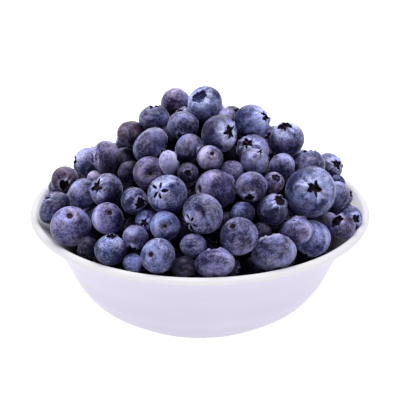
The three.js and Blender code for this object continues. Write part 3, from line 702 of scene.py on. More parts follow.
def core_normal(x, y):
    """Way straight out of the dome's top over a point of the floor."""
    reach = 0.5
    slope_x = (core_height(x + reach, y) - core_height(x - reach, y)) / (2 * reach)
    slope_y = (core_height(x, y + reach) - core_height(x, y - reach)) / (2 * reach)
    return unit(np.array([-slope_x, -slope_y, 1.0]))


def rise_over_core(point):
    """How far a point is from the dome's top, straight out of it."""
    x, y, z = point
    return (z - core_height(x, y)) * core_normal(x, y)[2]


def unit(way):
    return way / np.linalg.norm(way)


# The middle of the lip and the ways right, up and back to the eye, as seen from the front
SIGHT_TILT = math.radians(SIGHT_ELEVATION)
SIGHT_MIDDLE = np.array([0.0, 0.0, LIP_HEIGHT])
SIGHT_RIGHT = np.array([1.0, 0.0, 0.0])
SIGHT_UP = np.array([0.0, math.sin(SIGHT_TILT), math.cos(SIGHT_TILT)])
SIGHT_BACK = np.array([0.0, -math.cos(SIGHT_TILT), math.sin(SIGHT_TILT)])
EYE = SIGHT_MIDDLE + SIGHT_BACK * SIGHT_DISTANCE


class Berry:
    """Where one berry lies, in millimetres, and what it looks like."""

    # A berry keeps the dark look unless it is given one, so the deep berries are painted as shade.
    def __init__(self, middle, radius, tall, crown_way, crown=STAR, look="dark"):
        self.middle = middle
        self.radius = radius
        self.tall = tall
        self.crown_way = crown_way
        self.crown = crown
        self.look = look
        self.crown_size = None
        self.crown_turn = None
        self.bloom = 0.0
        self.marks = ()

    def half_size(self):
        return self.radius * (1 + self.tall) / 2


def distance_to_bowl(middle):
    """How far a berry's middle is from the inside of the bowl."""
    spot = np.array([math.hypot(middle[0], middle[1]), middle[2]])
    edges = LINER[1:] - LINER[:-1]
    offsets = spot - LINER[:-1]
    shares = np.clip((offsets * edges).sum(1) / (edges**2).sum(1), 0, 1)
    nearest = np.linalg.norm(offsets - shares[:, None] * edges, axis=1).min()
    return min(nearest, spot[1] - FLOOR_HEIGHT)


def is_in_bowl(berry):
    """Whether a berry lies in the bowl, or on it without reaching out past the lip."""
    if math.hypot(berry.middle[0], berry.middle[1]) + berry.radius >= LIP_ACROSS / 2:
        return False
    return distance_to_bowl(berry.middle) >= BERRY_TOUCH * berry.half_size()


def is_clear(berry, others, touch=BERRY_TOUCH):
    """Whether a berry keeps its distance from the others."""
    if not others:
        return True
    middles = np.array([other.middle for other in others])
    sizes = np.array([other.half_size() for other in others])
    apart = np.linalg.norm(middles - berry.middle, axis=1)
    return bool((apart >= touch * (berry.half_size() + sizes)).all())


def is_hidden(berry, others):
    """Whether all of a berry is out of sight from the front."""
    angles = np.arange(HIDDEN_CHECKS) * 2 * math.pi / HIDDEN_CHECKS
    ring = np.cos(angles)[:, None] * SIGHT_RIGHT + np.sin(angles)[:, None] * SIGHT_UP
    points = berry.middle + berry.radius * ring
    to_eye = EYE - points
    to_eye /= np.linalg.norm(to_eye, axis=1)[:, None]
    steps = np.arange(1, SIGHT_REACH)
    x, y, z = np.moveaxis(points[:, None] + to_eye[:, None] * steps[:, None], 2, 0)
    behind = ((np.hypot(x, y) < CORE_RADIUS) & (z < core_height(x, y))).any(1)
    middles = np.array([other.middle for other in others])
    radii = np.array([other.radius for other in others])
    offsets = middles - points[:, None]
    along = (offsets * to_eye[:, None]).sum(2)
    apart = np.linalg.norm(offsets - along[:, :, None] * to_eye[:, None], axis=2)
    behind |= ((along > 0) & (apart < radii)).any(1)
    return bool(behind.all())


def front_berry(row, others):
    """A berry of the front: it slides along its line of sight to where it sits on the
    dome, clear of the bowl and of the berries in front of it."""
    spot = SIGHT_MIDDLE + SIGHT_RIGHT * row.right + SIGHT_UP * row.up
    away = unit(spot - EYE)
    crown_out = math.sqrt(max(0, 1 - row.crown_right**2 - row.crown_up**2))
    crown_aside = SIGHT_RIGHT * row.crown_right + SIGHT_UP * row.crown_up
    crown_way = unit(crown_aside - away * row.crown_side * crown_out)

    def at(slide):
        radius = row.across / 2 * (1 + slide / SIGHT_DISTANCE)
        return Berry(spot + away * slide, radius, row.tall, crown_way, row.crown, row.look)

    def rise(slide):
        berry = at(slide)
        return rise_over_core(berry.middle) - BERRY_SEAT * berry.radius

    # To where it rests on the dome, or to where it is nearest to that
    seat = best = -SIGHT_REACH
    while rise(seat) > 0 and seat < SIGHT_REACH:
        seat += SIGHT_STEP
        best = seat if rise(seat) < rise(best) else best
    slide = best if rise(seat) > 0 else seat
    # From there to the nearest place in the bowl, and back until it is clear
    for step in range(SIGHT_REACH):
        trial = slide + (-1 if step % 2 else 1) * math.ceil(step / 2) * SIGHT_STEP
        if is_in_bowl(at(trial)):
            slide = trial
            break
    while not is_clear(at(slide), others) and slide < SIGHT_REACH:
        slide += SIGHT_STEP
    berry = at(slide)
    # Last, down to the dome if it hangs over it
    gap = max(0, rise_over_core(berry.middle) - BERRY_HOLD * berry.radius * row.tall)
    berry.middle = berry.middle - core_normal(berry.middle[0], berry.middle[1]) * gap
    berry.crown_size = row.crown_size
    berry.crown_turn = row.crown_turn
    berry.bloom = row.bloom
    berry.marks = row.marks
    return berry


def draws(seed):
    """Repeatable draws between 0 and 1."""
    state = seed
    while True:
        state = state * DRAW_FACTOR % DRAW_RANGE
        yield state / DRAW_RANGE


def drawn_way(draw):
    """A way in space, from three draws."""
    return unit(np.array([next(draw) - 0.5 for _ in range(3)]))


def spiral_spots(spots, stride):
    """Places on a spiral over the dome, in a scattered order."""
    for turn in range(spots):
        index = turn * stride % spots
        out = REST_EDGE * CORE_RADIUS * math.sqrt((index + 0.5) / spots)
        yield out * math.cos(index * GOLDEN_ANGLE), out * math.sin(index * GOLDEN_ANGLE)


def scattered(sizes, seats, spots, stride, draw, fits):
    """Berries of these sizes, up to the most of each, at the first seat where one fits."""
    berries = []
    for across, most in sizes:
        count = 0
        for x, y in spiral_spots(spots, stride):
            if count == most:
                break
            normal = core_normal(x, y)
            radius = across / 2 * (REST_SMALLEST + REST_SPREAD * next(draw))
            crown_way = unit(drawn_way(draw) + REST_OUTWARD * normal)
            foot = np.array([x, y, core_height(x, y)])
            for seat in seats:
                berry = Berry(foot + normal * seat * radius, radius, BERRY_TALL, crown_way)
                if fits(berry, berries):
                    berries.append(berry)
                    count += 1
                    break
    return berries


@lru_cache
def shown_berries():
    """The berries of the front and those over the sides and back."""
    front = []
    for row in FRONT_BERRIES:
        front.append(front_berry(row, front))

    def fits(berry, others):
        return is_in_bowl(berry) and is_clear(berry, front + others) and is_hidden(berry, front)

    rest = scattered(REST_SIZES, REST_SEATS, REST_SPOTS, REST_STRIDE, draws(REST_SEED), fits)
    pick = draws(LOOK_SEED)
    for berry in rest:
        berry.crown = REST_CROWNS[int(next(pick) * len(REST_CROWNS))]
        berry.look = REST_LOOKS[int(next(pick) * len(REST_LOOKS))]
    return front + rest


@lru_cache
def deep_berries():
    """Berries under the others, which show in the gaps, and which keep the dark look as painted
    shade.
    """
    shown = shown_berries()

    def fits(berry, others):
        return is_in_bowl(berry) and is_clear(berry, shown + others, DEEP_TOUCH)

    return scattered(DEEP_SIZES, DEEP_SEATS, DEEP_SPOTS, DEEP_STRIDE, draws(DEEP_SEED), fits)


def start_piece(add, **options):
    """Adds a primitive with nothing else selected, and opens it in edit mode."""
    bpy.ops.object.select_all(action="DESELECT")
    add(**options)
    bpy.ops.object.mode_set(mode="EDIT")
    return bpy.context.object


def end_piece(piece, name, slot, *materials):
    """Names a finished piece, and gives it its finish and its place in the frame."""
    piece.name = name
    piece.data.name = name
    piece.data.materials.clear()
    for material in materials:
        piece.data.materials.append(material)
    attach(piece, "root")
    return piece


def select_points(mesh, chosen):
    """Selects the points of the mesh in edit mode that pass a test, and nothing else."""
    shape = bmesh.from_edit_mesh(mesh)
    bpy.ops.mesh.select_mode(type="VERT")
    bpy.ops.mesh.select_all(action="DESELECT")
    shape.verts.ensure_lookup_table()
    for point in shape.verts:
        point.select = chosen(point)
    shape.select_flush_mode()
    bmesh.update_edit_mesh(mesh)


def turn_profile(profile, steps):
    """Turns a section of radii and heights about the Z axis into a closed shell."""
    piece = start_piece(bpy.ops.mesh.primitive_plane_add, size=MM)
    bpy.ops.mesh.select_all(action="SELECT")
    bpy.ops.mesh.merge(type="CENTER")
    places = [Vector((radius * MM, 0, height * MM)) for radius, height in profile]
    bpy.ops.transform.translate(value=places[0])
    for place, after in zip(places, places[1:]):
        bpy.ops.mesh.extrude_region_move(TRANSFORM_OT_translate={"value": after - place})
    bpy.ops.mesh.select_all(action="SELECT")
    bpy.ops.mesh.spin(steps=steps, angle=2 * math.pi, center=(0, 0, 0), axis=(0, 0, 1))
    bpy.ops.mesh.select_all(action="SELECT")
    bpy.ops.mesh.remove_doubles(threshold=MERGE_WITHIN * MM)
    bpy.ops.mesh.normals_make_consistent(inside=False)
    bpy.ops.object.mode_set(mode="OBJECT")
    return piece


class BowlSettings(PropertyGroup):
    """Sizes and finish of the bowl"""

    sides: IntProperty(name="Sides", description="Steps round the bowl", default=128, min=24)
    wall_steps: IntProperty(name="Wall steps", description="Steps up the wall", default=30, min=9)
    lip_steps: IntProperty(name="Lip steps", description="Steps round the lip", default=14, min=6)
    glaze: FloatVectorProperty(
        name="Glaze", description="Colour of the glaze",
        default=(0.735, 0.69, 0.845), min=0, max=1, subtype="COLOR",
    )
    # Painted light: the lip and the inside take this paler colour, as a lit copy of the glaze.
    rim: FloatVectorProperty(
        name="Rim", description="Colour of the glaze on the lip and inside",
        default=(0.875, 0.86, 0.905), min=0, max=1, subtype="COLOR",
    )
    roughness: FloatProperty(
        name="Roughness", description="Roughness of the glaze",
        default=0.3, min=0, max=1, subtype="FACTOR",
    )


class BerrySettings(PropertyGroup):
    """Finish of the berries"""

    frost: FloatVectorProperty(
        name="Frost", description="Colour where the bloom is thick",
        default=(0.46, 0.495, 0.74), min=0, max=1, subtype="COLOR",
    )
    rime: FloatVectorProperty(
        name="Rime", description="Colour of the brightest bloom",
        default=(0.60, 0.65, 0.93), min=0, max=1, subtype="COLOR",
    )
    # Partly the crown's own dark inside and partly painted shade in the hollow.
    hollow: FloatVectorProperty(
        name="Hollow", description="Colour inside a crown",
        default=(0.009, 0.006, 0.013), min=0, max=1, subtype="COLOR",
    )
    dry_floor: FloatVectorProperty(
        name="Dry floor", description="Colour of the dry floor of a crown",
        default=(0.12, 0.075, 0.11), min=0, max=1, subtype="COLOR",
    )
    scar: FloatVectorProperty(
        name="Scar", description="Colour of the scar round the stem and of scuffs",
        default=(0.07, 0.042, 0.07), min=0, max=1, subtype="COLOR",
    )
    scar_pale: FloatVectorProperty(
        name="Pale scar", description="Colour of the paler grain in scars and scuffs",
        default=(0.27, 0.22, 0.32), min=0, max=1, subtype="COLOR",
    )
    core_drop: FloatProperty(
        name="Core drop",
        description="How far the dark core lies below the dome that the berries sit on",
        default=0.009, min=0, unit="LENGTH", subtype="DISTANCE",
    )


class StageSettings(PropertyGroup):
    """Floor, light and camera"""

    floor: FloatVectorProperty(
        name="Floor", description="Colour of the floor",
        default=(0.25, 0.25, 0.25), min=0, max=1, subtype="COLOR",
    )
    floor_glow: FloatProperty(
        name="Floor glow", description="Strength of the floor's own light",
        default=0.9, min=0, subtype="UNSIGNED",
    )
    sky: FloatProperty(
        name="Sky", description="Strength of the light all round",
        default=0.16, min=0, subtype="UNSIGNED",
    )
    top_light: FloatProperty(
        name="Top light", description="Power of the light above",
        default=13.0, min=0, unit="POWER",
    )
    left_light: FloatProperty(
        name="Left light", description="Power of the light at the left",
        default=3.0, min=0, unit="POWER",
    )
    right_light: FloatProperty(
        name="Right light", description="Power of the light at the right",
        default=3.8, min=0, unit="POWER",
    )
    back_light: FloatProperty(
        name="Back light", description="Power of the light behind",
        default=11.0, min=0, unit="POWER",
    )
    bowl_light: FloatProperty(
        name="Bowl light", description="Power of the light on the bowl",
        default=17.5, min=0, unit="POWER",
    )
    lens: FloatProperty(
        name="Lens", description="Focal length on a 36 mm sensor",
        default=195.75, min=1, subtype="DISTANCE_CAMERA",
    )
    aim_rise: FloatProperty(
        name="Aim rise", description="How far above the middle of the lip the camera looks",
        default=0.0046, unit="LENGTH", subtype="DISTANCE",
    )


class Finish:
    """A node material, with short ways to add its nodes."""

    def __init__(self, name):
        self.material = bpy.data.materials.new(name)
        self.material.use_nodes = True
        self.nodes = self.material.node_tree.nodes
        self.links = self.material.node_tree.links
        self.shader = self.nodes["Principled BSDF"]

    def node(self, kind, inputs=None, **settings):
        """Adds a node with these settings, and links or sets its inputs."""
        made = self.nodes.new(kind)
        for name, value in settings.items():
            setattr(made, name, value)
        for name, value in (inputs or {}).items():
            self.put(made.inputs[name], value)
        return made

    def put(self, socket, value):
        """Links an output to a socket, or sets the socket to a value."""
        if isinstance(value, bpy.types.NodeSocket):
            self.links.new(value, socket)
        else:
            socket.default_value = value

    def shade(self, inputs):
        """Links or sets inputs of the shader, and returns the finished material."""
        for name, value in inputs.items():
            self.put(self.shader.inputs[name], value)
        return self.material

    def math(self, operation, first, second):
        made = self.node("ShaderNodeMath", operation=operation)
        self.put(made.inputs[0], first)
        self.put(made.inputs[1], second)
        return made.outputs[0]

    def mix(self, share, first, second, blend="MIX"):
        made = self.node("ShaderNodeMix", data_type="RGBA", blend_type=blend)
        self.put(made.inputs["Factor"], share)
        self.put(made.inputs[MIX_FIRST], first)
        self.put(made.inputs[MIX_SECOND], second)
        return made.outputs[MIX_RESULT]

    def spread(self, value, of, to=(0.0, 1.0), smooth=False):
        """Takes a value from one range to another."""
        kind = "SMOOTHSTEP" if smooth else "LINEAR"
        made = self.node("ShaderNodeMapRange", interpolation_type=kind)
        names = ("Value", "From Min", "From Max", "To Min", "To Max")
        for name, number in zip(names, (value, *of, *to)):
            self.put(made.inputs[name], number)
        return made.outputs["Result"]

    def noise(self, place, scale, detail=2.0, roughness=0.5):
        inputs = {"Vector": place, "Scale": scale, "Detail": detail, "Roughness": roughness}
        return self.node("ShaderNodeTexNoise", inputs).outputs["Fac"]

    def cells(self, place, scale):
        inputs = {"Vector": place, "Scale": scale}
        return self.node("ShaderNodeTexVoronoi", inputs).outputs["Distance"]

    def moved(self, place, **inputs):
        return self.node("ShaderNodeMapping", {"Vector": place, **inputs}).outputs["Vector"]

    def bump(self, height, strength, distance):
        inputs = {"Strength": strength, "Distance": distance, "Height": height}
        return self.node("ShaderNodeBump", inputs).outputs["Normal"]

    def layered(self, base, layers):
        """Adds noises, each round its middle and times an amount, to a value."""
        total = base
        for layer, amount in layers:
            step = self.node("ShaderNodeMath", operation="MULTIPLY_ADD")
            self.put(step.inputs[0], self.math("SUBTRACT", layer, 0.5))
            self.put(step.inputs[1], amount)
            self.put(step.inputs[2], total)
            total = step.outputs[0]
        return total

    def attribute(self, name, output):
        return self.node("ShaderNodeAttribute", attribute_name=name).outputs[output]


def rgba(colour):
    return (*colour, 1.0)


def glaze_finish(settings):
    """White glaze with a faint lavender cast, a little uneven as fired glaze is, with painted
    shade under the lip and down to the foot, and painted light where the lip and the inside take a
    paler colour.
    """
    finish = Finish("white_glaze")
    place = finish.node("ShaderNodeTexCoord").outputs["Object"]
    cloud = finish.noise(place, scale=28.0, detail=2.0)
    paler = tuple(min(1.0, part * PALE_CLOUDS) for part in settings.glaze)
    colour = finish.mix(finish.spread(cloud, (0.3, 0.7)), rgba(settings.glaze), rgba(paler))
    height = finish.node("ShaderNodeSeparateXYZ", {"Vector": place}).outputs["Z"]
    # Painted shade: the glaze is darker under the lip and down to the foot.
    under_lip = [edge * MM for edge in UNDER_LIP]
    shade = finish.spread(height, under_lip, (1.0, UNDER_LIP_PAINTED_SHADE), smooth=True)
    colour = finish.mix(1.0, colour, shade, "MULTIPLY")
    over_foot = [edge * MM for edge in OVER_FOOT]
    shade = finish.spread(height, over_foot, (FOOT_PAINTED_SHADE, 1.0))
    colour = finish.mix(1.0, colour, shade, "MULTIPLY")
    # Painted light: the lip and the inside take the paler lit colour.
    colour = finish.mix(finish.attribute("rim", "Fac"), colour, rgba(settings.rim))
    rough = (settings.roughness, settings.roughness + GLAZE_UNEVEN)
    ripple = finish.noise(place, scale=90.0, detail=1.0)
    return finish.shade({
        "Base Color": colour,
        "Roughness": finish.spread(cloud, (0.3, 0.7), rough),
        "Specular IOR Level": 0.06,
        "Normal": finish.bump(ripple, strength=0.04, distance=0.0004),
    })


@lru_cache
def skin_finish():
    """Dark skin under a waxy bloom that is rubbed off in patches, brown at scars and scuffs."""
    settings = bpy.context.scene.blueberries
    finish = Finish("berry_skin")
    place = finish.attribute("berry_place", "Vector")
    sides = finish.noise(place, scale=0.10, detail=1.0)
    patches = finish.noise(place, scale=0.30, detail=3.0, roughness=0.6)
    mottle = finish.noise(place, scale=0.85, detail=2.0, roughness=0.6)
    grain = finish.noise(place, scale=1.6, detail=2.0, roughness=0.6)
    streaks = finish.moved(place, Scale=(0.5, 1.0, 1.7))
    rubs = finish.noise(streaks, scale=0.55, detail=3.0, roughness=0.6)
    pricks = finish.cells(place, scale=0.62)
    flecks = finish.cells(finish.moved(place, Location=(31.0, 47.0, 13.0)), scale=1.05)

    bloom = finish.attribute("bloom", "Fac")
    crisp = finish.spread(bloom, (0.5, 1.1), (0.8, 3.0))
    layers = [(sides, 1.5), (patches, 0.9), (mottle, 0.5), (grain, crisp), (rubs, 0.95)]
    cover = finish.layered(bloom, layers)
    cover = finish.math("ADD", cover, finish.spread(flecks, (0.1, 0.25), (0.25, 0.0)))
    cover = finish.math("MULTIPLY", cover, finish.spread(pricks, (0.08, 0.2), (0.78, 1.0)))
    frost = finish.spread(cover, (0.8, 1.5))
    rime = finish.spread(cover, (1.3, 2.1))
    cover = finish.spread(cover, (0.0, 1.0), smooth=True)

    skin = finish.attribute("skin_colour", "Color")
    colour = finish.mix(cover, skin, finish.attribute("bloom_colour", "Color"))
    warmth = finish.spread(finish.noise(place, scale=0.22, detail=2.0), (0.35, 0.65))
    tint = finish.mix(warmth, COOL_TINT, WARM_TINT)
    colour = finish.mix(1.0, colour, tint, "MULTIPLY")
    colour = finish.mix(frost, colour, rgba(settings.frost))
    colour = finish.mix(rime, colour, rgba(settings.rime))
    grained = finish.spread(grain, (0.35, 0.65))
    brown = finish.mix(grained, rgba(settings.scar), rgba(settings.scar_pale))
    colour = finish.mix(finish.attribute("scar", "Fac"), colour, brown)
    relief = finish.layered(patches, [(grain, 0.35)])
    return finish.shade({
        "Base Color": colour,
        "Roughness": finish.spread(cover, (0.0, 1.0), (0.42, 0.70)),
        "Specular IOR Level": 0.2,
        "Specular Tint": (0.6, 0.66, 1.0, 1.0),
        "Sheen Weight": 1.0,
        "Sheen Roughness": 0.2,
        "Sheen Tint": (0.62, 0.68, 1.0, 1.0),
        "Normal": finish.bump(relief, strength=0.3, distance=0.0003),
    })


@lru_cache
def hollow_and_shade_finish():
    """Dry brown-black inside of a crown or a stem scar, partly its own colour and partly painted
    shade in the hollow.
    """
    settings = bpy.context.scene.blueberries
    finish = Finish("crown_hollow")
    place = finish.attribute("berry_place", "Vector")
    flecks = finish.noise(place, scale=0.9, detail=3.0, roughness=0.6)
    flecked = finish.spread(flecks, (0.35, 0.65), (0.2, 1.0))
    dry = finish.math("MULTIPLY", finish.attribute("scar", "Fac"), flecked)
    return finish.shade({
        "Base Color": finish.mix(dry, rgba(settings.hollow), rgba(settings.dry_floor)),
        "Roughness": finish.spread(flecks, (0.3, 0.7), (0.8, 1.0)),
        "Specular IOR Level": 0.06,
    })


def core_shade_finish():
    """Painted shade: near-black colour that stands for the shaded depth of the heap."""
    finish = Finish("heap_shade")
    place = finish.node("ShaderNodeTexCoord").outputs["Object"]
    cloud = finish.noise(place, scale=180.0, detail=3.0)
    return finish.shade({
        "Base Color": finish.mix(cloud, CORE_SHADE_DARK, CORE_SHADE_PALE),
        "Roughness": 0.8,
        "Specular IOR Level": 0.0,
    })


def lobe_share(x, y):
    """How near a point round a crown is to the tip of a lobe, from 0 between lobes to 1."""
    turn = math.atan2(y, x) * LOBES / (2 * math.pi)
    return 1 - abs(2 * (turn % 1) - 1)


def mark(mesh, layer, value):
    """Marks the selected points of the mesh in edit mode with a value."""
    shape = bmesh.from_edit_mesh(mesh)
    marks = shape.verts.layers.float[layer]
    for point in shape.verts:
        if point.select:
            point[marks] = value
    bmesh.update_edit_mesh(mesh)


def add_lobed_ring(mesh, sides, ring, is_hollow):
    """Extrudes the open edge to a new ring, in steps from the gaps to the tips of its lobes.
    What lies well below the tips is hollow, and takes the dark colour, which is partly painted
    shade in the clefts."""
    tip_reach, tip_height, gap_reach, gap_height, sharpness = ring
    bpy.ops.mesh.extrude_edges_move()
    shape = bmesh.from_edit_mesh(mesh)
    shape.verts.index_update()
    parts = {}
    for point in shape.verts:
        if point.select:
            share = round(lobe_share(point.co.x, point.co.y) * sides / LOBES / 2)
            parts.setdefault(share, set()).add(point.index)
    for step, members in parts.items():
        share = (step * LOBES * 2 / sides) ** sharpness
        select_points(mesh, lambda point: point.index in members)
        one = bmesh.from_edit_mesh(mesh).verts[min(members)].co.copy()
        reach = gap_reach + (tip_reach - gap_reach) * share
        scale = reach / math.hypot(one.x, one.y)
        bpy.ops.transform.resize(value=(scale, scale, 1), center_override=(0, 0, 0))
        height = gap_height + (tip_height - gap_height) * share
        bpy.ops.transform.translate(value=(0, 0, height - one.z))
        mark(mesh, "hollow", float(is_hollow or height < tip_height - LOBE_CLEFT))
    ring_points = set().union(*parts.values())
    select_points(mesh, lambda point: point.index in ring_points)


def open_end(mesh, is_past):
    """Cuts a pole off the berry, and selects the open edge that this leaves."""
    select_points(mesh, lambda point: is_past(point.co.z))
    bpy.ops.mesh.delete(type="VERT")
    bpy.ops.mesh.select_mode(type="EDGE")
    bpy.ops.mesh.select_all(action="DESELECT")
    bpy.ops.mesh.select_non_manifold()


def close_end():
    """Closes the selected open edge with a fan to its middle."""
    bpy.ops.mesh.extrude_edges_move()
    bpy.ops.mesh.merge(type="CENTER")


class Pattern:
    """One modelled berry of radius 1, as arrays to copy from."""

    def __init__(self, mesh):
        count = len(mesh.vertices)
        self.places = np.empty(count * 3)
        mesh.vertices.foreach_get("co", self.places)
        self.places = self.places.reshape(-1, 3)
        self.faces = [tuple(face.vertices) for face in mesh.polygons]
        self.scar = np.zeros(count)
        mesh.attributes["scar"].data.foreach_get("value", self.scar)
        hollow = np.zeros(count)
        mesh.attributes["hollow"].data.foreach_get("value", hollow)
        self.hollow_faces = [int(hollow[list(face)].mean() >= 0.5) for face in self.faces]


def model_berry(crown, sides, rings):
    """Models a berry of radius 1 with its crown up, and returns its pattern."""
    sphere_add = bpy.ops.mesh.primitive_uv_sphere_add
    berry = start_piece(sphere_add, segments=sides, ring_count=rings, radius=1)
    mesh = berry.data
    bpy.ops.object.mode_set(mode="OBJECT")
    for name in ("hollow", "scar"):
        mesh.attributes.new(name, "FLOAT", "POINT")
    bpy.ops.object.mode_set(mode="EDIT")
    open_end(mesh, lambda height: height < STEM_EDGE)
    for index, (reach, height, scar) in enumerate(STEM_RINGS):
        add_lobed_ring(mesh, sides, (reach, height, reach, height, 1.0), index >= STEM_HOLLOW_FROM)
        mark(mesh, "scar", scar)
    close_end()
    open_end(mesh, lambda height: height > CROWN_EDGE)
    for index, ring in enumerate(CROWNS[crown]):
        add_lobed_ring(mesh, sides, ring, index in HOLLOW_RINGS[crown])
        if index in HOLLOW_RINGS[crown] and index >= CROWN_FLOOR_FROM:
            mark(mesh, "scar", CROWN_FLOOR[crown])
    close_end()
    bpy.ops.mesh.select_all(action="SELECT")
    bpy.ops.mesh.normals_make_consistent(inside=False)
    bpy.ops.object.mode_set(mode="OBJECT")
    pattern = Pattern(mesh)
    bpy.data.objects.remove(berry)
    bpy.data.meshes.remove(mesh)
    return pattern


def uneven_crown(places, size, draw):
    """Points of a berry with its crown made larger or smaller, and its lobes uneven."""
    x, y, height = places.T
    turn, reach = np.arctan2(y, x), np.hypot(x, y)
    low, high = CROWN_REACH
    share = np.clip((height - low) / (high - low), 0, 1)
    share = share * share * (3 - 2 * share)

    def wave(times):
        return share * np.sin(times * turn + 2 * math.pi * next(draw))

    def waves(counts):
        return sum(wave(times) for times in counts)

    twist = LOBE_TWIST * (next(draw) - 0.5) * np.clip(TWIST_REACH - reach, 0, 1) / TWIST_REACH
    turn = turn + LOBE_TURN * waves(TURN_WAVES) + share * twist
    ragged = waves(RAG_WAVES)
    reach = reach * (1 + (size - 1) * share + LOBE_REACH * waves(REACH_WAVES) + LOBE_RAG * ragged)
    height = height + LOBE_HEIGHT * waves(HEIGHT_WAVES) + LOBE_RAG * waves(RAG_HEIGHT_WAVES) / 2
    return np.stack([reach * np.cos(turn), reach * np.sin(turn), height], axis=1)


def grown_places(pattern, berry, draw):
    """Points of one berry as it lies in the heap, and the same points round its own middle."""
    places = pattern.places
    lumps = np.zeros(len(places))
    fewest, more = LUMP_WAVES
    for _ in range(LUMPS):
        way = drawn_way(draw)
        lumps += np.sin(places @ way * (fewest + more * next(draw)) + 2 * math.pi * next(draw))
    small, large = CROWN_SIZES
    drawn_size = small + (large - small) * next(draw)
    grown = uneven_crown(places, berry.crown_size or drawn_size, draw)
    grown = grown * (1 + LUMP_SIZE * lumps / math.sqrt(LUMPS))[:, None]
    grown = grown * (berry.radius, berry.radius, berry.radius * berry.tall)
    side = np.cross(berry.crown_way, drawn_way(draw))
    if berry.crown_turn is not None:
        angle = math.radians(berry.crown_turn)
        side = SIGHT_RIGHT * math.cos(angle) + SIGHT_UP * math.sin(angle)
    side = unit(side - berry.crown_way * (side @ berry.crown_way))
    turned = np.stack([side, np.cross(berry.crown_way, side), berry.crown_way])
    return grown @ turned + berry.middle, grown


def marked_places(lying, berry):
    """Points of a berry with its marks pressed in, and what they add to its bloom and brown, the
    bloom being partly painted light and shade.
    """
    offsets = lying - berry.middle
    ways = offsets / np.linalg.norm(offsets, axis=1)[:, None]
    to_eye = unit(EYE - berry.middle)
    right = unit(np.cross(SIGHT_UP, to_eye))
    up = np.cross(to_eye, right)
    dips, blooms_and_painted_light, browns = np.zeros((3, len(lying)))
    for kind, mark_right, mark_up, turn, half_length, half_width in berry.marks:
        out = math.sqrt(max(0, 1 - mark_right**2 - mark_up**2))
        middle = unit(right * mark_right + up * mark_up + to_eye * out)
        along = right * math.cos(math.radians(turn)) + up * math.sin(math.radians(turn))
        along = unit(along - middle * (along @ middle))
        across = np.cross(middle, along)
        off = (ways @ along / half_length) ** 2 + (ways @ across / half_width) ** 2
        if kind in ROUND_MARKS:
            off = ((np.sqrt(off) - 1) / ROUND_WIDTH) ** 2
        weight = np.where(ways @ middle > 0, np.exp(-off), 0)
        dip, bloom, brown = MARKS[kind]
        dips += dip * weight
        blooms_and_painted_light += bloom * weight
        browns += brown * weight
    return lying - offsets * dips[:, None], blooms_and_painted_light, browns


def near(height, band):
    """How near heights on a berry are to the middle of a band round it, from 0 to 1."""
    middle, width = band
    return np.exp(-(((height - middle) / width) ** 2))


def heap_berries(name, groups, seed):
    """Joins copies of modelled berries into one piece, each grown a little unevenly. Each
    group is a pattern and the berries that are copies of it."""
    draw = draws(seed)
    places, faces, hollow_faces = [], [], []
    values = {layer: [] for layer in LAYERS}
    start = 0
    for pattern, berries in groups:
        count = len(pattern.places)
        x, y, height = pattern.places.T
        turn, reach = np.arctan2(y, x), np.hypot(x, y)
        round_crown = CROWN_BLOOM * near(height, CROWN_BAND)
        round_stem = STEM_BLOOM * near(height, STEM_BAND)
        rays_reach = near(height, RAY_BAND)
        in_cup = (height > 0) & (height < CUP_TOP) & (reach < CUP_REACH)
        # Painted shade: less bloom in a crown's cup, least on its wall.
        cup = in_cup * np.where(reach > CUP_FLOOR_REACH, CUP_WALL_SHADE, CUP_FLOOR_SHADE)
        for berry in berries:
            lying, own = grown_places(pattern, berry, draw)
            lying, marked_bloom_and_light, marked_brown = marked_places(lying, berry)
            skin, wax, bloom = LOOKS[berry.look]
            shift = PATTERN_SHIFT * np.array([next(draw) for _ in range(3)])
            places.append(lying * MM)
            values["berry_place"].append(own + shift)
            faces += [tuple(corner + start for corner in face) for face in pattern.faces]
            hollow_faces += pattern.hollow_faces
            rays = sum(np.sin(times * turn + 2 * math.pi * next(draw)) for times in RAY_WAVES)
            # A berry's own bloom offset is partly painted light and shade.
            bloom += berry.bloom + BLOOM_SPREAD * (next(draw) - 0.5) - BLOOM_RUBBED
            bloom = bloom + round_crown + round_stem + RAY_BLOOM * rays * rays_reach
            values["bloom"].append(bloom + cup + marked_bloom_and_light)
            values["scar"].append(np.clip(pattern.scar + marked_brown, 0, 1))
            values["skin_colour"].append(np.tile(rgba(skin), (count, 1)))
            values["bloom_colour"].append(np.tile(rgba(wax), (count, 1)))
            start += count
    if not places:
        raise RuntimeError(f"{name}: there are no berries of this kind")
    mesh = bpy.data.meshes.new(name)
    mesh.from_pydata(np.concatenate(places), [], faces)
    mesh.shade_smooth()
    for layer, (kind, key) in LAYERS.items():
        made = mesh.attributes.new(layer, kind, "POINT")
        made.data.foreach_set(key, np.concatenate(values[layer]).ravel())
    piece = bpy.data.objects.new(name, mesh)
    bpy.context.scene.collection.objects.link(piece)
    end_piece(piece, name, "berry_skin", skin_finish(), hollow_and_shade_finish())
    mesh.polygons.foreach_set("material_index", hollow_faces)
    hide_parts("berries")
    return piece


def heap_shown(name, crown):
    """Heaps the berries with one kind of crown, those at the front with finer faces."""
    shown = shown_berries()
    front, rest = shown[: len(FRONT_BERRIES)], shown[len(FRONT_BERRIES) :]
    groups = []
    for berries, sides, rings in (
        (front, FRONT_SIDES, FRONT_RINGS),
        (rest, REST_SIDES, REST_RINGS),
    ):
        alike = [berry for berry in berries if berry.crown == crown]
        groups.append((model_berry(crown, sides, rings), alike))
    return heap_berries(name, groups, GROWTH_SEEDS[crown])


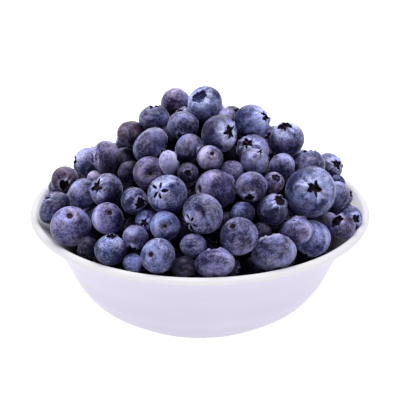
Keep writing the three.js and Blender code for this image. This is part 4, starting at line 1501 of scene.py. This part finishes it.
class BLUEBERRIES_OT_bowl(Operator):
    """Turns the white bowl from its section"""

    bl_idname = "blueberries.bowl"
    bl_label = "Bowl"

    def execute(self, context):
        settings = context.scene.berry_bowl
        foot = WALL_OUTSIDE[0][0] - FOOT_WIDTH
        outside = [wall_point(step / settings.wall_steps) for step in range(settings.wall_steps)]
        profile = [
            (0, FOOT_RECESS),
            (foot - FOOT_RECESS, FOOT_RECESS),
            (foot, 0),
            *outside,
            *lip_arc(LIP_TURN_FROM, LIP_TURN_TO, 0, settings.lip_steps),
            *reversed(wall_inside(0, settings.wall_steps)),
            (0, FLOOR_HEIGHT),
        ]
        bowl = turn_profile(profile, settings.sides)
        bpy.ops.object.shade_smooth_by_angle(angle=math.radians(SMOOTH_ANGLE))
        # Painted light: every point inside, and the lip from a little below its middle, take the
        # paler lit colour.
        rim = bowl.data.attributes.new("rim", "FLOAT", "POINT")
        rim_heights = (LIP_HEIGHT - RIM_START, LIP_HEIGHT - RIM_FULL)
        out_reach, out_height = np.array(outside).T
        for point, mark_on in zip(bowl.data.vertices, rim.data):
            reach, height = math.hypot(point.co.x, point.co.y) / MM, point.co.z / MM
            is_inside = reach < np.interp(height, out_height, out_reach) - WALL_THICKNESS / 2
            mark_on.value = 1.0 if is_inside else np.interp(height, rim_heights, (0, 1))
        end_piece(bowl, "serving_bowl", "white_glaze", glaze_finish(settings))
        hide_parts("bowl")
        return {"FINISHED"}


class BLUEBERRIES_OT_core(Operator):
    """Makes the dark core that closes the gaps between the berries, painted near-black as shade"""

    bl_idname = "blueberries.core"
    bl_label = "Heap core"

    def execute(self, context):
        drop = context.scene.blueberries.core_drop / MM
        wall_end = LIP_HEIGHT - drop - CORE_WALL_DROP
        wall = [point for point in wall_inside(CORE_GAP) if point[1] < wall_end]
        edge = wall[-1][0]
        dome = [(edge * ring / CORE_RINGS, LIP_HEIGHT) for ring in range(CORE_RINGS, -1, -1)]
        core = turn_profile([(0, FLOOR_HEIGHT + CORE_GAP), *wall, *dome], CORE_SIDES)
        for point in core.data.vertices:
            if point.co.z > (LIP_HEIGHT - CORE_WALL_DROP) * MM:
                x, y = point.co.x / MM, point.co.y / MM
                point.co.z = (core_height(x, y) - drop) * MM
        bpy.ops.object.shade_smooth()
        end_piece(core, "heap_core", "berry_skin", core_shade_finish())
        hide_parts("berries")
        return {"FINISHED"}


class BLUEBERRIES_OT_star_berries(Operator):
    """Heaps the berries whose crown lies open as a star"""

    bl_idname = "blueberries.star_berries"
    bl_label = "Star-crowned berries"

    def execute(self, context):
        heap_shown("star_berries", STAR)
        return {"FINISHED"}


class BLUEBERRIES_OT_toothed_berries(Operator):
    """Heaps the berries whose crown stands round a dark hollow"""

    bl_idname = "blueberries.toothed_berries"
    bl_label = "Tooth-crowned berries"

    def execute(self, context):
        heap_shown("toothed_berries", TEETH)
        return {"FINISHED"}


class BLUEBERRIES_OT_ringed_berries(Operator):
    """Heaps the berries whose crown stands round an open cup"""

    bl_idname = "blueberries.ringed_berries"
    bl_label = "Ring-crowned berries"

    def execute(self, context):
        heap_shown("ringed_berries", RING)
        return {"FINISHED"}


class BLUEBERRIES_OT_folded_berries(Operator):
    """Heaps the berries whose crown is folded in"""

    bl_idname = "blueberries.folded_berries"
    bl_label = "Fold-crowned berries"

    def execute(self, context):
        heap_shown("folded_berries", FOLDED)
        return {"FINISHED"}


class BLUEBERRIES_OT_deep_berries(Operator):
    """Heaps the berries that show deep in the gaps"""

    bl_idname = "blueberries.deep_berries"
    bl_label = "Deep berries"

    def execute(self, context):
        groups = [(model_berry(STAR, DEEP_SIDES, DEEP_RINGS), deep_berries())]
        heap_berries("deep_berries", groups, DEEP_GROWTH_SEED)
        return {"FINISHED"}


class BLUEBERRIES_OT_stage(Operator):
    """Sets the pale floor, the soft light and the camera"""

    bl_idname = "blueberries.stage"
    bl_label = "Stage"

    def execute(self, context):
        settings = context.scene.berry_stage
        bpy.ops.object.select_all(action="DESELECT")
        bpy.ops.mesh.primitive_plane_add(size=FLOOR_SIZE)
        floor = context.object
        floor.name = "floor"
        finish = Finish("pale_floor")
        floor.data.materials.append(finish.shade({
            "Base Color": rgba(settings.floor),
            "Roughness": 0.9,
            "Emission Color": WHITE,
            "Emission Strength": settings.floor_glow,
        }))

        world = bpy.data.worlds.new("studio")
        world.use_nodes = True
        sky = world.node_tree.nodes["Background"]
        sky.inputs["Color"].default_value = WHITE
        sky.inputs["Strength"].default_value = settings.sky
        context.scene.world = world

        middle = Vector(SIGHT_MIDDLE * MM)
        bowl = bpy.data.objects["serving_bowl"]
        for name, (way, distance, size, on_bowl) in LIGHTS.items():
            back = Vector(way).normalized()
            bpy.ops.object.light_add(type="AREA", location=middle + back * distance)
            light = context.object
            light.name = name
            light.data.size = size
            light.data.energy = getattr(settings, name)
            light.rotation_euler = back.to_track_quat("Z", "Y").to_euler()
            bowl.select_set(True)
            bpy.ops.object.light_linking_receivers_link(link_state=on_bowl)

        aim = middle + Vector(SIGHT_UP) * settings.aim_rise
        eye = Vector(EYE * MM)
        bpy.ops.object.camera_add(location=eye)
        camera = context.object
        camera.rotation_euler = (aim - eye).to_track_quat("-Z", "Y").to_euler()
        camera.data.sensor_width = SENSOR_WIDTH
        camera.data.lens = settings.lens
        context.scene.camera = camera
        context.scene.view_settings.view_transform = "Standard"
        return {"FINISHED"}


OPERATORS = (
    BLUEBERRIES_OT_bowl,
    BLUEBERRIES_OT_core,
    BLUEBERRIES_OT_star_berries,
    BLUEBERRIES_OT_toothed_berries,
    BLUEBERRIES_OT_ringed_berries,
    BLUEBERRIES_OT_folded_berries,
    BLUEBERRIES_OT_deep_berries,
    BLUEBERRIES_OT_stage,
)


class BLUEBERRIES_PT_sidebar(Panel):
    """Lists what makes the bowl of blueberries and its stage"""

    bl_idname = "BLUEBERRIES_PT_sidebar"
    bl_label = "Bowl of blueberries"
    bl_space_type = "VIEW_3D"
    bl_region_type = "UI"
    bl_category = "Blueberries"

    def draw(self, context):
        for operator in OPERATORS:
            self.layout.operator(operator.bl_idname)


CLASSES = (BowlSettings, BerrySettings, StageSettings, *OPERATORS, BLUEBERRIES_PT_sidebar)


def register():
    for made in CLASSES:
        bpy.utils.register_class(made)
    bpy.types.Scene.berry_bowl = PointerProperty(type=BowlSettings)
    bpy.types.Scene.blueberries = PointerProperty(type=BerrySettings)
    bpy.types.Scene.berry_stage = PointerProperty(type=StageSettings)


def unregister():
    del bpy.types.Scene.berry_stage
    del bpy.types.Scene.blueberries
    del bpy.types.Scene.berry_bowl
    for made in reversed(CLASSES):
        bpy.utils.unregister_class(made)


def main():
    register()
    bpy.ops.blueberries.bowl()
    bpy.ops.blueberries.core()
    bpy.ops.blueberries.star_berries()
    bpy.ops.blueberries.toothed_berries()
    bpy.ops.blueberries.ringed_berries()
    bpy.ops.blueberries.folded_berries()
    bpy.ops.blueberries.deep_berries()
    bpy.ops.blueberries.stage()


if __name__ == "__main__":
    main()
